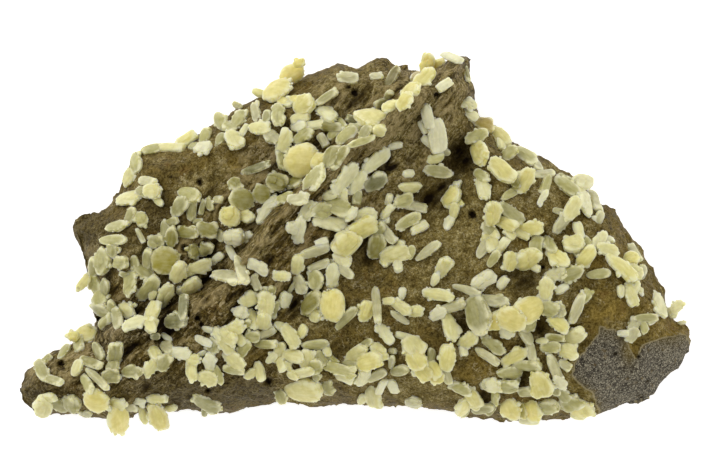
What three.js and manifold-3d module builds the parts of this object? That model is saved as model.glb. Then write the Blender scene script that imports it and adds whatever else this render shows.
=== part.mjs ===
// A hand specimen: a broken plate of vesicular basalt whose upper face is crusted with small
// blunt calcite crystals. It lies on its flat broken underside. Millimetres, +Z up. X runs along
// the plate from its thin tail to its freshly broken end, and Y runs across it.
import * as THREE from 'three';
import { mergeVertices } from 'three/addons/utils/BufferGeometryUtils.js';
import Module from 'manifold-3d';

// ---- driving dimensions, mm ------------------------------------------------------------------
// Every place on the plate is [x, y] from one datum corner. The model's own origin is the middle
// of its footprint, which lies here:
const CENTRE = [70.8, 45.04];

const RIM_SHARE = 0.6;      // height of the widest line of the edge, as a share of the top above it
const RIM_ROUND = 6;        // the top rounds over within this distance of the edge
const WALL_SHARE = 0.25;    // height of the bend in the broken wall below the widest line
const WALL_INSET = 1.4;
const UNDERCUT = 5;         // the flat underside ends this far inside the edge
const CREST_FRONT = 6;      // width of the rise towards the crest from the front field
const CREST_BACK = 2.8;     // width of the drop behind the crest
const HEIGHT_BLEND = 3.5;   // softens the blend between the listed heights

const SEAT_GAP = 0.3;       // clear space between a crystal's foot and the rock
const CRYSTAL_HEIGHT = 0.7; // thickness off the rock, as a share of the width
const CRYSTAL_CROWN = 0.55; // width of the top facet, as a share of the width
const CRYSTAL_END = 0.8;    // length of the top facet, as a share of the length
const STEEPEST = 0.5;       // radians; a crystal leans no further than this
const GROUPS = 59;          // calcite bodies kept as pieces of their own, largest first
const STUD_SINK = 0.9;      // the smaller ones stand on the rock as studs, their feet sunk this far
const SMALLEST_STUD = 5.5;   // mm3

// Stations across the plate, from the tail to the broken end: [low edge x, y, high edge x, y].
const STATIONS = [
  [3.4, 15.8, 3.5, 17.4], [6.9, 11.5, 9, 22.6], [13, 11.6, 13.6, 24.6], [18.3, 10.9, 18.4, 26.2],
  [20, 10.6, 19.4, 28.2], [22.4, 10.5, 18.5, 32], [24.2, 10.7, 17.6, 38.4], [26, 11.2, 15.9, 45],
  [29, 11.8, 16.2, 50.3], [31, 11.8, 18.6, 51.4], [35.3, 11.8, 23.2, 55.6], [38.8, 12.2, 25.2, 61],
  [42.2, 12.1, 30, 65.1], [46.3, 12.1, 38.5, 67.3], [51.5, 12.9, 45, 71.2], [57, 13.9, 51, 74.9],
  [62.3, 13.4, 57.4, 77.6], [67.6, 13.6, 65, 81], [70, 13.3, 67.6, 82], [75, 13.2, 74.4, 82.6],
  [77.4, 13.2, 77.2, 83.4], [82, 12.9, 82.6, 79.8], [84.2, 12.9, 85.8, 79.5], [88.6, 12, 91.6, 83.6],
  [90.8, 11.8, 93.5, 83.2], [95, 11.3, 95, 77.2], [97.2, 11, 95.1, 73.4], [101.6, 10.5, 99.3, 69.2],
  [104, 10.5, 101.9, 66.6], [109.2, 10.5, 108.6, 63.2], [114.7, 10.7, 115, 59.4],
  [120.6, 11.4, 120.9, 53.2], [126.4, 13.8, 125.8, 48.6], [131.4, 15.2, 131.2, 40.8],
  [133, 18, 132.2, 37], [136.4, 20.5, 135.6, 30], [137.3, 24.2, 137.5, 29], [138.2, 26, 138.1, 28],
];

// Points of a station's section between the low edge and the crest, and between the foot of the
// drop and the high edge, as shares of those spans.
const FRONT_SHARES = [0, 0.03, 0.1, 0.21, 0.33, 0.46, 0.6, 0.74, 0.88, 1];
const SHELF_SHARES = [0, 0.3, 0.62, 0.87, 1];
const LAST_CREST = 0.9;     // where no crest crosses a station, its points divide here instead

// The crest that runs over the plate, [x, y, height]. The rock drops steeply behind it.
const CREST = [
  [8, 28.5, 20], [20, 27.2, 25], [34, 31, 29], [45, 37, 32], [55, 50, 35], [61, 56, 36],
  [65, 60, 36.5], [70, 65, 36.5], [77, 70, 36], [82, 75, 35.5], [88, 81, 34], [94, 85, 33],
];

// Heights of the front field and of the deeper shelf behind the crest, [x, y, height].
const FRONT = [
  [5, 16, 17], [9, 20, 19], [12, 14, 20], [20, 13, 22], [20, 19, 24], [14, 24, 19], [20, 24, 22],
  [30, 15, 24], [30, 22, 27], [31, 27, 25], [40, 14, 25], [40, 21, 28], [40, 27, 28],
  [50, 15, 25], [50, 22, 29], [60, 15, 25], [60, 22, 29], [70, 15, 25], [72, 22, 29],
  [80, 15, 25], [85, 22, 29], [95, 14, 24], [97, 22, 28], [105, 13, 23], [108, 20, 27],
  [115, 14, 22], [118, 22, 25], [125, 16, 20], [127, 24, 23], [134, 22, 18], [136, 27, 18],
  [45, 32, 31], [55, 34, 31], [62, 34, 29], [70, 34, 30], [80, 34, 30], [90, 32, 29],
  [100, 32, 30], [110, 32, 29], [120, 32, 27], [130, 31, 22], [52, 42, 32], [60, 45, 32],
  [70, 42, 30], [80, 43, 28], [90, 42, 29], [100, 42, 29], [110, 42, 28], [120, 42, 25],
  [128, 42, 20], [60, 51, 34], [68, 53, 31], [78, 52, 28], [88, 54, 25], [98, 53, 28],
  [108, 53, 27], [118, 52, 23], [123, 50, 20], [78, 62, 30], [86, 62, 26], [92, 63, 22],
  [98, 61, 26], [106, 59, 24], [113, 57, 21], [88, 70, 28], [95, 69, 23], [100, 66, 22],
  [92, 78, 30], [94, 73, 25],
];
const SHELF = [
  [20, 31, 20], [20, 38, 19], [16, 46, 17], [26, 40, 22], [28, 50, 22], [24, 55, 18], [30, 33, 21],
  [35, 44, 23], [38, 52, 24], [45, 54, 25], [35, 60, 21], [30, 64, 18], [45, 62, 21],
  [55, 60, 24], [55, 70, 21], [45, 70, 18], [62, 66, 25], [65, 75, 22], [62, 79, 17],
  [74, 76, 22], [75, 82, 17], [82, 79, 24], [68, 70, 25], [88, 83, 26],
];

// Hollows and swells between them: [x, y, height, long radius, short radius, direction in degrees].
const SWELLS = [
  [86, 55, -3.5, 4, 3, 40], [92, 64, -4, 3, 3, 0], [91, 59, -2, 3, 3, 0], [73.5, 43.5, -3, 4, 3, 60],
  [59, 34, -3, 5, 3, 60], [33.5, 31, -3, 3, 2.5, 0], [104.5, 38, -2, 4, 3, 0], [97, 15.5, -2.5, 3, 2, 70],
  [105, 18.5, -2, 2.5, 2, 0], [108, 29, -2.5, 3, 2, 60], [92.5, 29.5, -2.5, 3, 2.5, 60],
  [40.2, 42, -1.5, 3, 2.5, 0], [34, 27.2, -2, 6, 1.5, 10], [84, 63, 1.5, 6, 2, 55],
  [102, 31, 1.5, 6, 4, 10], [83, 23, 1.5, 4, 3, -50], [46, 33, 1.5, 5, 2.5, 25],
  [70, 58, 1.2, 5, 2, 50], [66, 24, -1.5, 5, 3, 0], [52, 22, -1.5, 4, 2, -60], [112, 47, -1.5, 5, 3, 0],
];

// Calcite crystals: [x, y, direction in degrees, length, width].
const CRYSTALS = [
  // tail
  [7.9, 20.2, -60, 4.8, 2.6], [10.4, 18.2, -15, 3.6, 1.7], [12.3, 23.8, 60, 3.4, 1.6],
  [15.2, 20.7, 70, 3.6, 1.9], [18, 21.8, -20, 4.5, 1.9], [19.4, 24.1, -60, 4.2, 1.9],
  [19.3, 18.7, -42, 5.2, 1.6], [23, 23.5, 80, 4.5, 3], [22.4, 20.8, 80, 3.4, 2.4],
  [22, 19.2, 5, 3.6, 3], [26.3, 20, 5, 4.6, 2.2], [17.3, 17.6, -55, 3.6, 1.8],
  [19.2, 14.2, 0, 5.2, 4.8], [23.4, 10.3, -80, 6.2, 4.5], [23.2, 13.5, -20, 3.6, 2.2],
  [14.1, 13.5, -20, 3.6, 3.2], [8.2, 12.8, 70, 4.4, 3.6], [11.5, 13.2, -25, 4.4, 2.4],
  // lower front, left of middle
  [31.2, 14.6, 0, 3.8, 1.9], [31.3, 11, -70, 5.6, 3.8], [28.3, 11.3, -80, 3.8, 1.8],
  [41.3, 13.6, -28, 6, 2.8], [51.9, 20.1, -75, 3.5, 2], [56, 15.2, -70, 3.8, 2.2],
  [41.6, 18.8, -20, 4.2, 2.9], [43.7, 19.4, -70, 4.2, 1.6], [42, 22, 85, 3.6, 2.2],
  [38.3, 20.5, -87, 4.4, 2.4], [36, 23.8, -10, 4.6, 2.5], [32.8, 21.8, 60, 3.6, 2.6],
  [30.3, 21, 55, 4.2, 2.4], [46.8, 22.5, -45, 5.4, 2.9], [46.7, 20.5, -8, 3.8, 1.6],
  [45.2, 25.6, -60, 4.6, 2.8], [48.7, 24.6, 60, 3.8, 2.2], [40.8, 26.2, -22, 3.8, 1.8],
  [55.9, 24, 80, 4, 2.4], [53.2, 25.6, 0, 4, 1.8],
  // left shelf
  [22.4, 46.4, 5, 6, 2.1], [20.2, 42.2, -75, 4.6, 3.2], [18.3, 40.8, 85, 3.6, 1.8],
  [18.4, 37.9, -65, 4.6, 2.2], [16.2, 37.7, 50, 3.6, 1.9], [20.2, 32, -10, 4.2, 2.6],
  [23.3, 30.6, -70, 4.2, 2], [25.2, 32.3, -50, 3.4, 2.4], [26.7, 29.8, 20, 4.8, 2.2],
  [29.9, 29.6, -60, 3.6, 2], [16.6, 27.2, 5, 4.6, 3], [26.8, 41.7, -85, 3.4, 1.8],
  [25.8, 37.8, 80, 5, 2.3], [28.6, 40, -30, 5, 2.4], [29.4, 42.6, 85, 3.6, 2], [29.5, 36.7, 45, 6, 3],
  [32.9, 35.2, 62, 5, 2.8], [30.4, 31.8, 75, 4.6, 2.6], [22.9, 49.1, 8, 4.4, 2],
  [25.7, 50.9, 65, 4.4, 1.8], [25.5, 54.8, 5, 5.4, 2.6], [28.6, 56, -15, 3.4, 2.2],
  [30.3, 56.2, 0, 3.4, 3], [26.9, 61.9, -75, 4.2, 2.3], [25.4, 59, 60, 3.4, 2.3],
  [30.1, 64.7, 15, 4.4, 1.9],
  // upper shelf
  [33.8, 65, 0, 5, 1.9], [36.9, 66.6, 35, 4.4, 2.1], [40.4, 64.9, -5, 3.4, 2.4],
  [46.6, 66.6, -60, 4.2, 3], [54.3, 67.1, -40, 3.6, 2.6], [56.8, 65.9, 65, 5.4, 2.6],
  [56.4, 62.6, -80, 4, 2.2], [51.1, 60.8, 18, 5.4, 1.6], [37.8, 55.5, -20, 4.4, 3],
  [35.9, 53.1, 48, 4.4, 2.5], [38.3, 52.7, 85, 4.2, 2], [48.3, 54.6, 0, 5, 4.6],
  [52.3, 55.7, 0, 3.8, 4], [55.5, 58, -20, 4.4, 3.8], [53.4, 52.5, 58, 6.6, 2.2],
  [46, 51.1, 0, 4.2, 4.2], [49, 51.2, -10, 3.4, 2.4], [46.8, 47, 0, 3.8, 3.4],
  [46.2, 43.9, -62, 3.6, 1.6], [33, 48.1, -80, 4.4, 2], [37.3, 47.9, 0, 4.6, 2.4],
  [41.2, 48.4, -20, 4.4, 3],
  // middle left
  [33, 42.3, 0, 6.2, 5.6], [34.2, 46.9, 85, 4, 2.6], [40.9, 44.5, 40, 3.4, 2.4],
  [39, 40.7, 25, 7.2, 2.3], [35.6, 39.9, 60, 4.2, 3.2], [38.1, 37.1, 30, 4.4, 2.8],
  [36.7, 33, 88, 4.6, 1.9], [35.2, 30.2, 5, 4.6, 3.2], [45.8, 39.1, -10, 7.4, 2.2],
  [48.3, 40.5, -70, 5, 1.9], [51.6, 41.1, -35, 4.6, 2.2], [56.2, 39.2, 0, 3.4, 2.2],
  [49.8, 34.5, 15, 3.7, 2.7], [53.2, 33.6, 85, 5, 3.6], [52.8, 30.4, 80, 3.6, 3],
  [50.6, 30.8, -60, 4.2, 2.4], [45.6, 27.2, -40, 4, 2.8], [47, 28.8, 25, 3.8, 2.8],
  [53.3, 27.8, 28, 3.6, 1.7], [56.6, 28.9, -30, 4, 2],
  // top edge, left of the peak
  [43.9, 70.4, -60, 3.8, 2.4], [47.7, 70.7, 65, 4, 2.5], [51, 72.1, -72, 3.9, 1.9],
  [51.8, 68.8, -8, 4.2, 2.4], [55.5, 71.6, -87, 5, 2.6], [51.8, 76, -25, 3.4, 1.8],
  [55.3, 76.6, 0, 5, 4.6], [58.3, 79.8, 35, 5.6, 4], [56.9, 74.2, -20, 3.6, 1.8],
  // lower front, middle
  [58, 27.2, -55, 5.5, 2.6], [58.6, 23.2, -10, 4.4, 2.8], [61.4, 22.4, 85, 4.4, 2.9],
  [62.9, 21.2, 0, 3.4, 3], [60.3, 19.8, 15, 5, 1.8], [63, 25.5, 5, 5.6, 2],
  [67.4, 20.7, -18, 7.6, 2.3], [68.9, 18.9, -20, 3.4, 1.8], [60.6, 16.5, 0, 7.4, 4.6],
  [71.2, 23.5, 35, 4.8, 2.8], [73, 25.6, 25, 3.4, 1.6], [73.9, 22.2, 15, 4.8, 3.6],
  [75.7, 24.2, -55, 4, 2.6], [72.6, 18.9, 70, 3.8, 2.5], [75.3, 19.3, 30, 4.2, 1.9],
  [74.6, 15.3, -80, 4.8, 3], [76.2, 16.9, 65, 3.4, 1.4], [79.9, 20.3, 12, 3.8, 2.1],
  [82.6, 25.2, -60, 4.6, 4], [83.2, 22.6, -60, 4.6, 4.2], [84.6, 20.2, -40, 4.2, 3.2],
  // middle
  [63, 44.2, 18, 6.2, 2], [59.5, 41.6, 80, 4, 2.5], [60.1, 37.6, -65, 4, 2.3],
  [63, 38.7, -80, 4.4, 2.7], [63.8, 41.3, 18, 4.2, 1.8], [66.5, 39.3, 88, 5, 2.7],
  [68.4, 40.7, -38, 5.8, 2], [66.4, 33.4, 88, 6.8, 5.2], [62.3, 33.8, 40, 5, 3.4],
  [69.2, 30.8, 47, 6, 2], [73.2, 32.2, 75, 4.4, 3], [75.3, 33.4, -85, 6.4, 1.8],
  [80.2, 33.1, -30, 4.6, 2.4], [79.9, 30.9, -33, 4.4, 1.5], [77, 27.6, -50, 5, 2.3],
  [69.2, 45.8, 50, 5.6, 4.4], [68.4, 42.8, -30, 4, 3], [75.3, 45.3, 80, 5.2, 3.6],
  [77.3, 48, -52, 5.6, 2], [79, 43.6, 15, 6, 3.6], [85.6, 44.2, 40, 6, 2],
  // ridge
  [60.5, 62.2, 0, 7.4, 7], [63.9, 62, 60, 3.4, 2.8], [62.8, 58.5, 40, 5.4, 3],
  [59.6, 54.5, 5, 4.2, 2.2], [57, 54.7, -5, 3.4, 2.2], [66.7, 62.7, 75, 4.6, 3.4],
  [68.4, 63.4, 60, 4, 1.8], [69, 58.7, 52, 7.6, 2.6], [71.3, 57.9, 70, 5.2, 2.6],
  [68.2, 55, 80, 4.2, 2.6], [75.2, 62.2, 37, 6.8, 2.6], [75, 58, 28, 5.2, 2.8],
  [81.9, 57, -5, 4.2, 2.1], [80.7, 54.2, 20, 4, 2.8], [83.1, 53.1, -10, 4, 2],
  [81.6, 50.2, 28, 5.6, 2.3], [73, 51.2, 10, 4.6, 3.4], [72, 48.4, 30, 7.4, 3.6],
  [75.6, 48, 60, 3.6, 2.4], [61.3, 52, 55, 5, 2.6], [59.9, 48.3, 75, 5.2, 2.4],
  [67.2, 53.2, -20, 6.2, 3.6], [66, 49.8, -12, 7.2, 2.6], [64.2, 52.4, 0, 4, 3.2],
  // behind the ridge and the peak
  [60.8, 73.4, 40, 4.4, 3.4], [60, 70.8, 15, 3.4, 2], [65.4, 71.7, -35, 4.2, 2.5],
  [65.3, 75, 32, 4.4, 1.5], [69.6, 78.9, -3, 4.2, 2.2], [78.3, 78.8, 60, 5.6, 1.8],
  [74.6, 70.6, -35, 6, 4], [62.3, 69.3, 12, 5, 1.9], [60.6, 67.3, 40, 4.4, 2.2],
  [66, 69.2, -10, 4.6, 2], [66.8, 67.8, 45, 3.4, 2], [69.4, 67.2, 38, 5.2, 2.6],
  [70.9, 68.1, 50, 3.4, 2.4], [73, 67.6, 60, 3.4, 2], [72.2, 66, 20, 5.2, 1.5],
  [78.5, 72.9, -10, 3.8, 2.8], [80.8, 73.9, 50, 4, 2.4], [82, 75.9, 25, 4, 2.6],
  [84.6, 78.2, 50, 6.4, 2.4], [85.6, 81.7, 80, 4.4, 3], [87, 81.7, 20, 4, 1.6],
  [85.4, 71.2, -80, 5.2, 2.4], [87.4, 67.2, -82, 7, 3.8], [90.4, 83, -25, 4, 1.6],
  [93.6, 73.9, -15, 3.6, 2.2], [94.2, 71.5, -28, 3.4, 1.9], [96.8, 69.6, -15, 4.4, 2.6],
  [95.4, 67.2, 20, 5, 2.4], [100.2, 67.3, -50, 4.8, 2.8],
  // right field, upper
  [87, 62.7, 15, 3.6, 1.8], [87.5, 60.2, -8, 5.6, 2.6], [95.9, 63.9, -65, 4.6, 3.2],
  [101.7, 63.6, 42, 4, 2.2], [105.2, 63.3, -42, 5.6, 2.4], [100.3, 60.4, -50, 6, 3.6],
  [105, 58.3, 62, 5.6, 3.2], [108.8, 59.7, 8, 4, 1.4], [96.5, 56.9, -75, 5, 2.7],
  [102.1, 55.7, 30, 4.4, 1.9], [109.2, 57.4, 70, 3.6, 1.9], [108.6, 54.9, 58, 3.6, 1.5],
  [90.3, 55, 45, 4.6, 2.8], [90.9, 52.2, 80, 3.6, 2], [98.6, 51.6, 78, 5.2, 3.2],
  [102.2, 51.7, -42, 6.2, 2.6], [101.2, 49.6, -30, 4.4, 2.6], [97.7, 48.6, -60, 3.4, 2.4],
  [105.8, 48.6, 10, 5.6, 3], [112.4, 49.9, 52, 5.2, 2.2], [114.5, 52.7, 62, 5, 2.9],
  [113.6, 57.2, -35, 5.8, 2.6], [116.8, 58.1, -25, 3.8, 3], [117.3, 53.8, -87, 5.4, 2.2],
  [119.3, 54.3, -72, 4, 1.8],
  // right field, middle
  [88.6, 40.9, 55, 4.6, 2.8], [87.6, 35.5, -10, 6.4, 2.5], [87.6, 31.7, 25, 3.6, 2.4],
  [90.3, 33, 20, 5.2, 1.9], [89.9, 29.2, -80, 5.8, 2.8], [96.7, 38.4, 30, 5.2, 3.2],
  [93.2, 36.5, -17, 5.8, 1.7], [96.7, 44.8, 62, 4.6, 2], [98.2, 46.2, -65, 4.2, 2.8],
  [100.3, 45.2, 52, 3.4, 1.9], [98.7, 42.7, 55, 3.8, 2], [101.9, 42.2, 80, 4, 2.6],
  [105.6, 42.6, 40, 5.2, 3.6], [107.2, 44.9, 80, 4.6, 2.6], [111.5, 43, -35, 5.2, 2.8],
  [110, 45.4, -65, 3.8, 2.2], [111.2, 39.5, 15, 4.6, 2.6], [114, 39.7, 20, 5.4, 3],
  [109.2, 36.6, 85, 5, 2.9], [111.8, 32.5, -60, 3.4, 2.4], [111.6, 29.8, -35, 5.2, 2.8],
  [105.9, 32.4, 25, 6.4, 4.8], [102.2, 30.6, -20, 5.8, 4.6], [98.9, 30.3, 30, 3.8, 2.8],
  [95.4, 31.6, -68, 7.2, 3.6], [98.6, 34.3, -10, 6, 2.4], [105.2, 27.2, -50, 3.6, 2],
  [111, 26.9, -5, 3.6, 1.6], [114.7, 27.2, 15, 4.6, 3], [114.7, 45.7, 15, 4.2, 3.2],
  [117.2, 43, 48, 5.2, 3], [120, 46.3, 60, 4, 2.3], [121.6, 44.4, -20, 4.6, 2.4],
  [119.8, 39.6, 8, 4.8, 2.1], [124.4, 40.9, -38, 7.6, 2.6], [126.2, 42.6, 20, 3.6, 2.8],
  [127.2, 43.8, -62, 3.4, 1.9], [127, 39.9, -35, 3.8, 2.8], [126.3, 35.6, -75, 5, 2.4],
  [115.4, 32.8, 68, 5.8, 2], [117, 35, 45, 3.4, 2.2], [132.2, 33.5, -80, 4.6, 2.3],
  [135.8, 32.9, 40, 3.4, 2.2], [129.3, 30.8, 0, 5, 1.9], [126.9, 29.3, 60, 3.8, 2.2],
  [126.6, 27.4, 60, 3.4, 2.4],
  // right field, lower
  [89.4, 22.9, 82, 5.2, 3.4], [86.8, 20.6, -55, 4, 2.6], [89.4, 19.1, -75, 3.4, 1.8],
  [93.6, 26.3, 35, 4.2, 3], [98.7, 25.3, -35, 5.2, 2.4], [97.4, 23.2, -35, 5, 1.8],
  [102.8, 23, 28, 5.8, 2.6], [106.2, 24.2, -80, 4.4, 2], [105.2, 21.3, 0, 5.2, 1.9],
  [107.2, 21, 85, 3.6, 1.4], [102, 19.9, 5, 5, 2.4], [111, 20.6, -68, 5.6, 2],
  [113.4, 24.3, -10, 4, 3.2], [110, 25, 5, 4.2, 2.4], [108.2, 17.6, -65, 5.4, 4],
  [110.7, 16.8, -60, 3.6, 2], [92.2, 16.7, -25, 4.2, 2.2], [94.4, 15.2, -60, 5.2, 2.8],
  [93, 13.2, 75, 4.6, 2.8], [96.7, 12.4, 15, 4.8, 1.9], [98.4, 12.7, 65, 3.6, 1.8],
  [100, 17.2, -4, 7.6, 2.4], [98, 17.4, 0, 3.8, 2.6], [102.2, 12.8, -62, 5.6, 3.2],
  [106.6, 12.6, -75, 5.8, 3], [104.4, 12.6, -75, 4.4, 2], [106, 10.1, 5, 4, 1.9],
  [109.7, 12.9, 15, 3.8, 2.8], [112.8, 15.2, -45, 3.4, 2.2], [114.2, 13.8, -25, 3.8, 3],
  [116.2, 12.7, -40, 4.6, 3.6],
];

// ---- the height of the rock -------------------------------------------------------------------
const { clamp, degToRad, smoothstep } = THREE.MathUtils;

// Nearest place to (x, y) on the line from a to b: how far along it, and how far off to the left.
function nearestOn([ax, ay], [bx, by], x, y) {
  const [dx, dy] = [bx - ax, by - ay];
  const along = clamp(((x - ax) * dx + (y - ay) * dy) / (dx * dx + dy * dy), 0, 1);
  const [nx, ny] = [x - ax - along * dx, y - ay - along * dy];
  return { along, distance: Math.hypot(nx, ny), left: dx * ny - dy * nx > 0 };
}

function blendHeights(list, x, y) {
  let weight = 0;
  let sum = 0;
  for (const [px, py, height] of list) {
    const w = ((px - x) ** 2 + (py - y) ** 2 + HEIGHT_BLEND ** 2) ** -2;
    weight += w;
    sum += w * height;
  }
  return sum / weight;
}

function crestAt(x, y) {
  let best = { distance: Infinity };
  for (let i = 1; i < CREST.length; i++) {
    const near = nearestOn(CREST[i - 1], CREST[i], x, y);
    if (near.distance < best.distance) {
      best = { ...near, height: THREE.MathUtils.lerp(CREST[i - 1][2], CREST[i][2], near.along) };
    }
  }
  return best;
}

function swellAt(x, y) {
  let sum = 0;
  for (const [cx, cy, height, long, short, turn] of SWELLS) {
    const a = degToRad(turn);
    const p = ((x - cx) * Math.cos(a) + (y - cy) * Math.sin(a)) / long;
    const q = ((y - cy) * Math.cos(a) - (x - cx) * Math.sin(a)) / short;
    sum += height * Math.exp(-(p * p + q * q));
  }
  return sum;
}

// Height of the open face, before it rounds over at the edge of the plate.
function faceAt(x, y) {
  const crest = crestAt(x, y);
  const field = blendHeights(crest.left ? SHELF : FRONT, x, y);
  const reach = crest.left ? CREST_BACK : CREST_FRONT;
  const rise = smoothstep(1 - crest.distance / reach, 0, 1);
  return field + (crest.height - field) * rise + swellAt(x, y);
}

const EDGE = [
  ...STATIONS.map(([x, y]) => [x, y]),
  ...STATIONS.map(([, , x, y]) => [x, y]).reverse(),
];

// Distance in from the edge of the plate, 0 outside it.
function insideBy(x, y) {
  let inside = false;
  let nearest = Infinity;
  for (let i = 0, j = EDGE.length - 1; i < EDGE.length; j = i++) {
    const [[ax, ay], [bx, by]] = [EDGE[j], EDGE[i]];
    if (ay > y !== by > y && x < ax + ((y - ay) * (bx - ax)) / (by - ay)) inside = !inside;
    nearest = Math.min(nearest, nearestOn(EDGE[j], EDGE[i], x, y).distance);
  }
  return inside ? nearest : 0;
}

function surfaceAt(x, y) {
  const inner = Math.min(insideBy(x, y) / RIM_ROUND, 1);
  return faceAt(x, y) * (1 - (1 - RIM_SHARE) * (1 - inner) ** 2);
}

// ---- the basalt: closed sections lofted from the tail to the broken end ------------------------
const lerp = ([ax, ay], [bx, by], t) => [ax + (bx - ax) * t, ay + (by - ay) * t];

// Where the crest crosses a station, as a share of the way from its low edge to its high edge.
function crestShare(low, high) {
  for (let i = 1; i < CREST.length; i++) {
    const [[ax, ay], [bx, by]] = [CREST[i - 1], CREST[i]];
    const [dx, dy] = [high[0] - low[0], high[1] - low[1]];
    const turn = dx * (by - ay) - dy * (bx - ax);
    const share = ((ax - low[0]) * (by - ay) - (ay - low[1]) * (bx - ax)) / turn;
    const along = ((ax - low[0]) * dy - (ay - low[1]) * dx) / turn;
    if (along >= 0 && along <= 1 && share > 0) return Math.min(share, LAST_CREST);
  }
  return LAST_CREST;
}

// One closed section: over the face from the low edge to the high edge, then back underneath.
function section([lowX, lowY, highX, highY]) {
  const [low, high] = [[lowX, lowY], [highX, highY]];
  const span = Math.hypot(highX - lowX, highY - lowY);
  const crest = crestShare(low, high);
  const drop = Math.min(CREST_BACK / span, (1 - crest) / 2);
  const shares = [
    ...FRONT_SHARES.map((share) => share * crest),
    ...SHELF_SHARES.map((share) => crest + drop + share * (1 - crest - drop)),
  ];
  const over = shares.map((share) => {
    const [x, y] = lerp(low, high, share);
    return [x, y, surfaceAt(x, y)];
  });
  const foot = Math.min(UNDERCUT / span, 0.25);
  const bend = Math.min(WALL_INSET / span, 0.1);
  const wall = (share, edge) => [...lerp(low, high, share), faceAt(...edge) * WALL_SHARE];
  const base = (share) => [...lerp(low, high, share), 0];
  return [...over, wall(1 - bend, high), base(1 - foot), base(foot), wall(bend, low)];
}

function rockGeometry() {
  const sections = STATIONS.map(section);
  const count = sections[0].length;
  const vertices = sections.flat(2);
  const index = [];
  for (let s = 0; s + 1 < sections.length; s++) {
    for (let k = 0; k < count; k++) {
      const [a, b] = [s * count + k, s * count + ((k + 1) % count)];
      index.push(a, a + count, b, b, a + count, b + count);
    }
  }
  for (const first of [0, (sections.length - 1) * count]) {
    const ring = Array.from({ length: count }, (_, k) => first + k);
    const outline = ring.map((i) => new THREE.Vector2(vertices[3 * i + 1], vertices[3 * i + 2]));
    for (const [a, b, c] of THREE.ShapeUtils.triangulateShape(outline, [])) {
      index.push(...(first ? [ring[a], ring[b], ring[c]] : [ring[c], ring[b], ring[a]]));
    }
  }
  const geometry = new THREE.BufferGeometry();
  geometry.setAttribute('position', new THREE.Float32BufferAttribute(vertices, 3));
  return geometry.setIndex(index);
}

// ---- solids -----------------------------------------------------------------------------------
const wasm = await Module();
wasm.setup();

function toSolid(geometry) {
  for (const name of ['normal', 'uv']) geometry.deleteAttribute(name);
  const merged = mergeVertices(geometry, 1e-4);
  return new wasm.Manifold(new wasm.Mesh({
    numProp: 3,
    vertProperties: Float32Array.from(merged.getAttribute('position').array),
    triVerts: Uint32Array.from(merged.getIndex().array),
  }));
}

function toGeometry(solid) {
  const mesh = solid.getMesh();
  const geometry = new THREE.BufferGeometry();
  geometry.setAttribute('position', new THREE.Float32BufferAttribute(mesh.vertProperties, 3));
  return geometry.setIndex([...mesh.triVerts]);
}

// ---- crystals ---------------------------------------------------------------------------------
const rockMesh = new THREE.Mesh(rockGeometry(), new THREE.MeshBasicMaterial({ side: THREE.DoubleSide }));
const plumb = new THREE.Raycaster();

// Height of the rock's facets under a point, or of the rim beside it.
function facetAt(x, y) {
  plumb.set(new THREE.Vector3(x, y, 100), new THREE.Vector3(0, 0, -1));
  const [hit] = plumb.intersectObject(rockMesh);
  return hit ? hit.point.z : surfaceAt(x, y);
}

// One crystal: a blunt bar with sloping sides and ends, its flat foot following the rock's slope.
function crystalGeometry([x, y, turn, length, width]) {
  const a = degToRad(turn);
  const place = (p, q) => [x + p * Math.cos(a) - q * Math.sin(a), y + p * Math.sin(a) + q * Math.cos(a)];
  const [halfLong, halfWide] = [length / 2, width / 2];
  const pitch = Math.atan2(facetAt(...place(halfLong, 0)) - facetAt(...place(-halfLong, 0)), length);
  const roll = Math.atan2(facetAt(...place(0, halfWide)) - facetAt(...place(0, -halfWide)), width);
  const lean = clamp(pitch, -STEEPEST, STEEPEST);
  const tilt = clamp(roll, -STEEPEST, STEEPEST);
  const bar = new THREE.BoxGeometry(length, width, width * CRYSTAL_HEIGHT);
  bar.translate(0, 0, width * CRYSTAL_HEIGHT * 0.5);
  const corners = bar.getAttribute('position');
  for (let i = 0; i < corners.count; i++) {
    if (corners.getZ(i) > 0) {
      corners.setX(i, corners.getX(i) * CRYSTAL_END);
      corners.setY(i, corners.getY(i) * CRYSTAL_CROWN);
    }
  }
  bar.applyMatrix4(new THREE.Matrix4().makeRotationFromEuler(new THREE.Euler(tilt, -lean, a, 'ZYX')));
  let seat = -Infinity;
  for (const p of [-1, -0.5, 0, 0.5, 1]) {
    for (const q of [-1, 0, 1]) {
      const [px, py] = place(p * halfLong, q * halfWide);
      const foot = p * halfLong * Math.tan(lean) + q * halfWide * Math.tan(tilt);
      seat = Math.max(seat, facetAt(px, py) - foot);
    }
  }
  return bar.translate(x, y, seat + SEAT_GAP);
}

// Crystals that touch have grown into one another, so they are joined. Where a foot bridges a fold
// of the rock, what would touch it is cut away.
const rock = toSolid(rockGeometry());
const grown = wasm.Manifold.union(CRYSTALS.map((row) => toSolid(crystalGeometry(row))));
const bodies = grown.subtract(rock.translate([0, 0, SEAT_GAP / 2])).decompose();
bodies.sort((a, b) => b.volume() - a.volume());
const groups = bodies.slice(0, GROUPS);
const allGroups = wasm.Manifold.union(groups);
const studs = bodies.slice(GROUPS)
  .map((body) => body.translate([0, 0, -STUD_SINK]))
  .filter((stud) => stud.volume() > SMALLEST_STUD && stud.minGap(allGroups, SEAT_GAP) === SEAT_GAP);
const studded = wasm.Manifold.union([rock, ...studs]);
const [matrix] = studded.decompose().sort((a, b) => b.volume() - a.volume());

// ---- the assembly -------------------------------------------------------------------------------
const BASALT = new THREE.MeshStandardMaterial({ color: 0x5f4e32, roughness: 0.8, metalness: 0 });
const CALCITE = new THREE.MeshStandardMaterial({ color: 0xd9d59a, roughness: 0.35, metalness: 0 });

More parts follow.
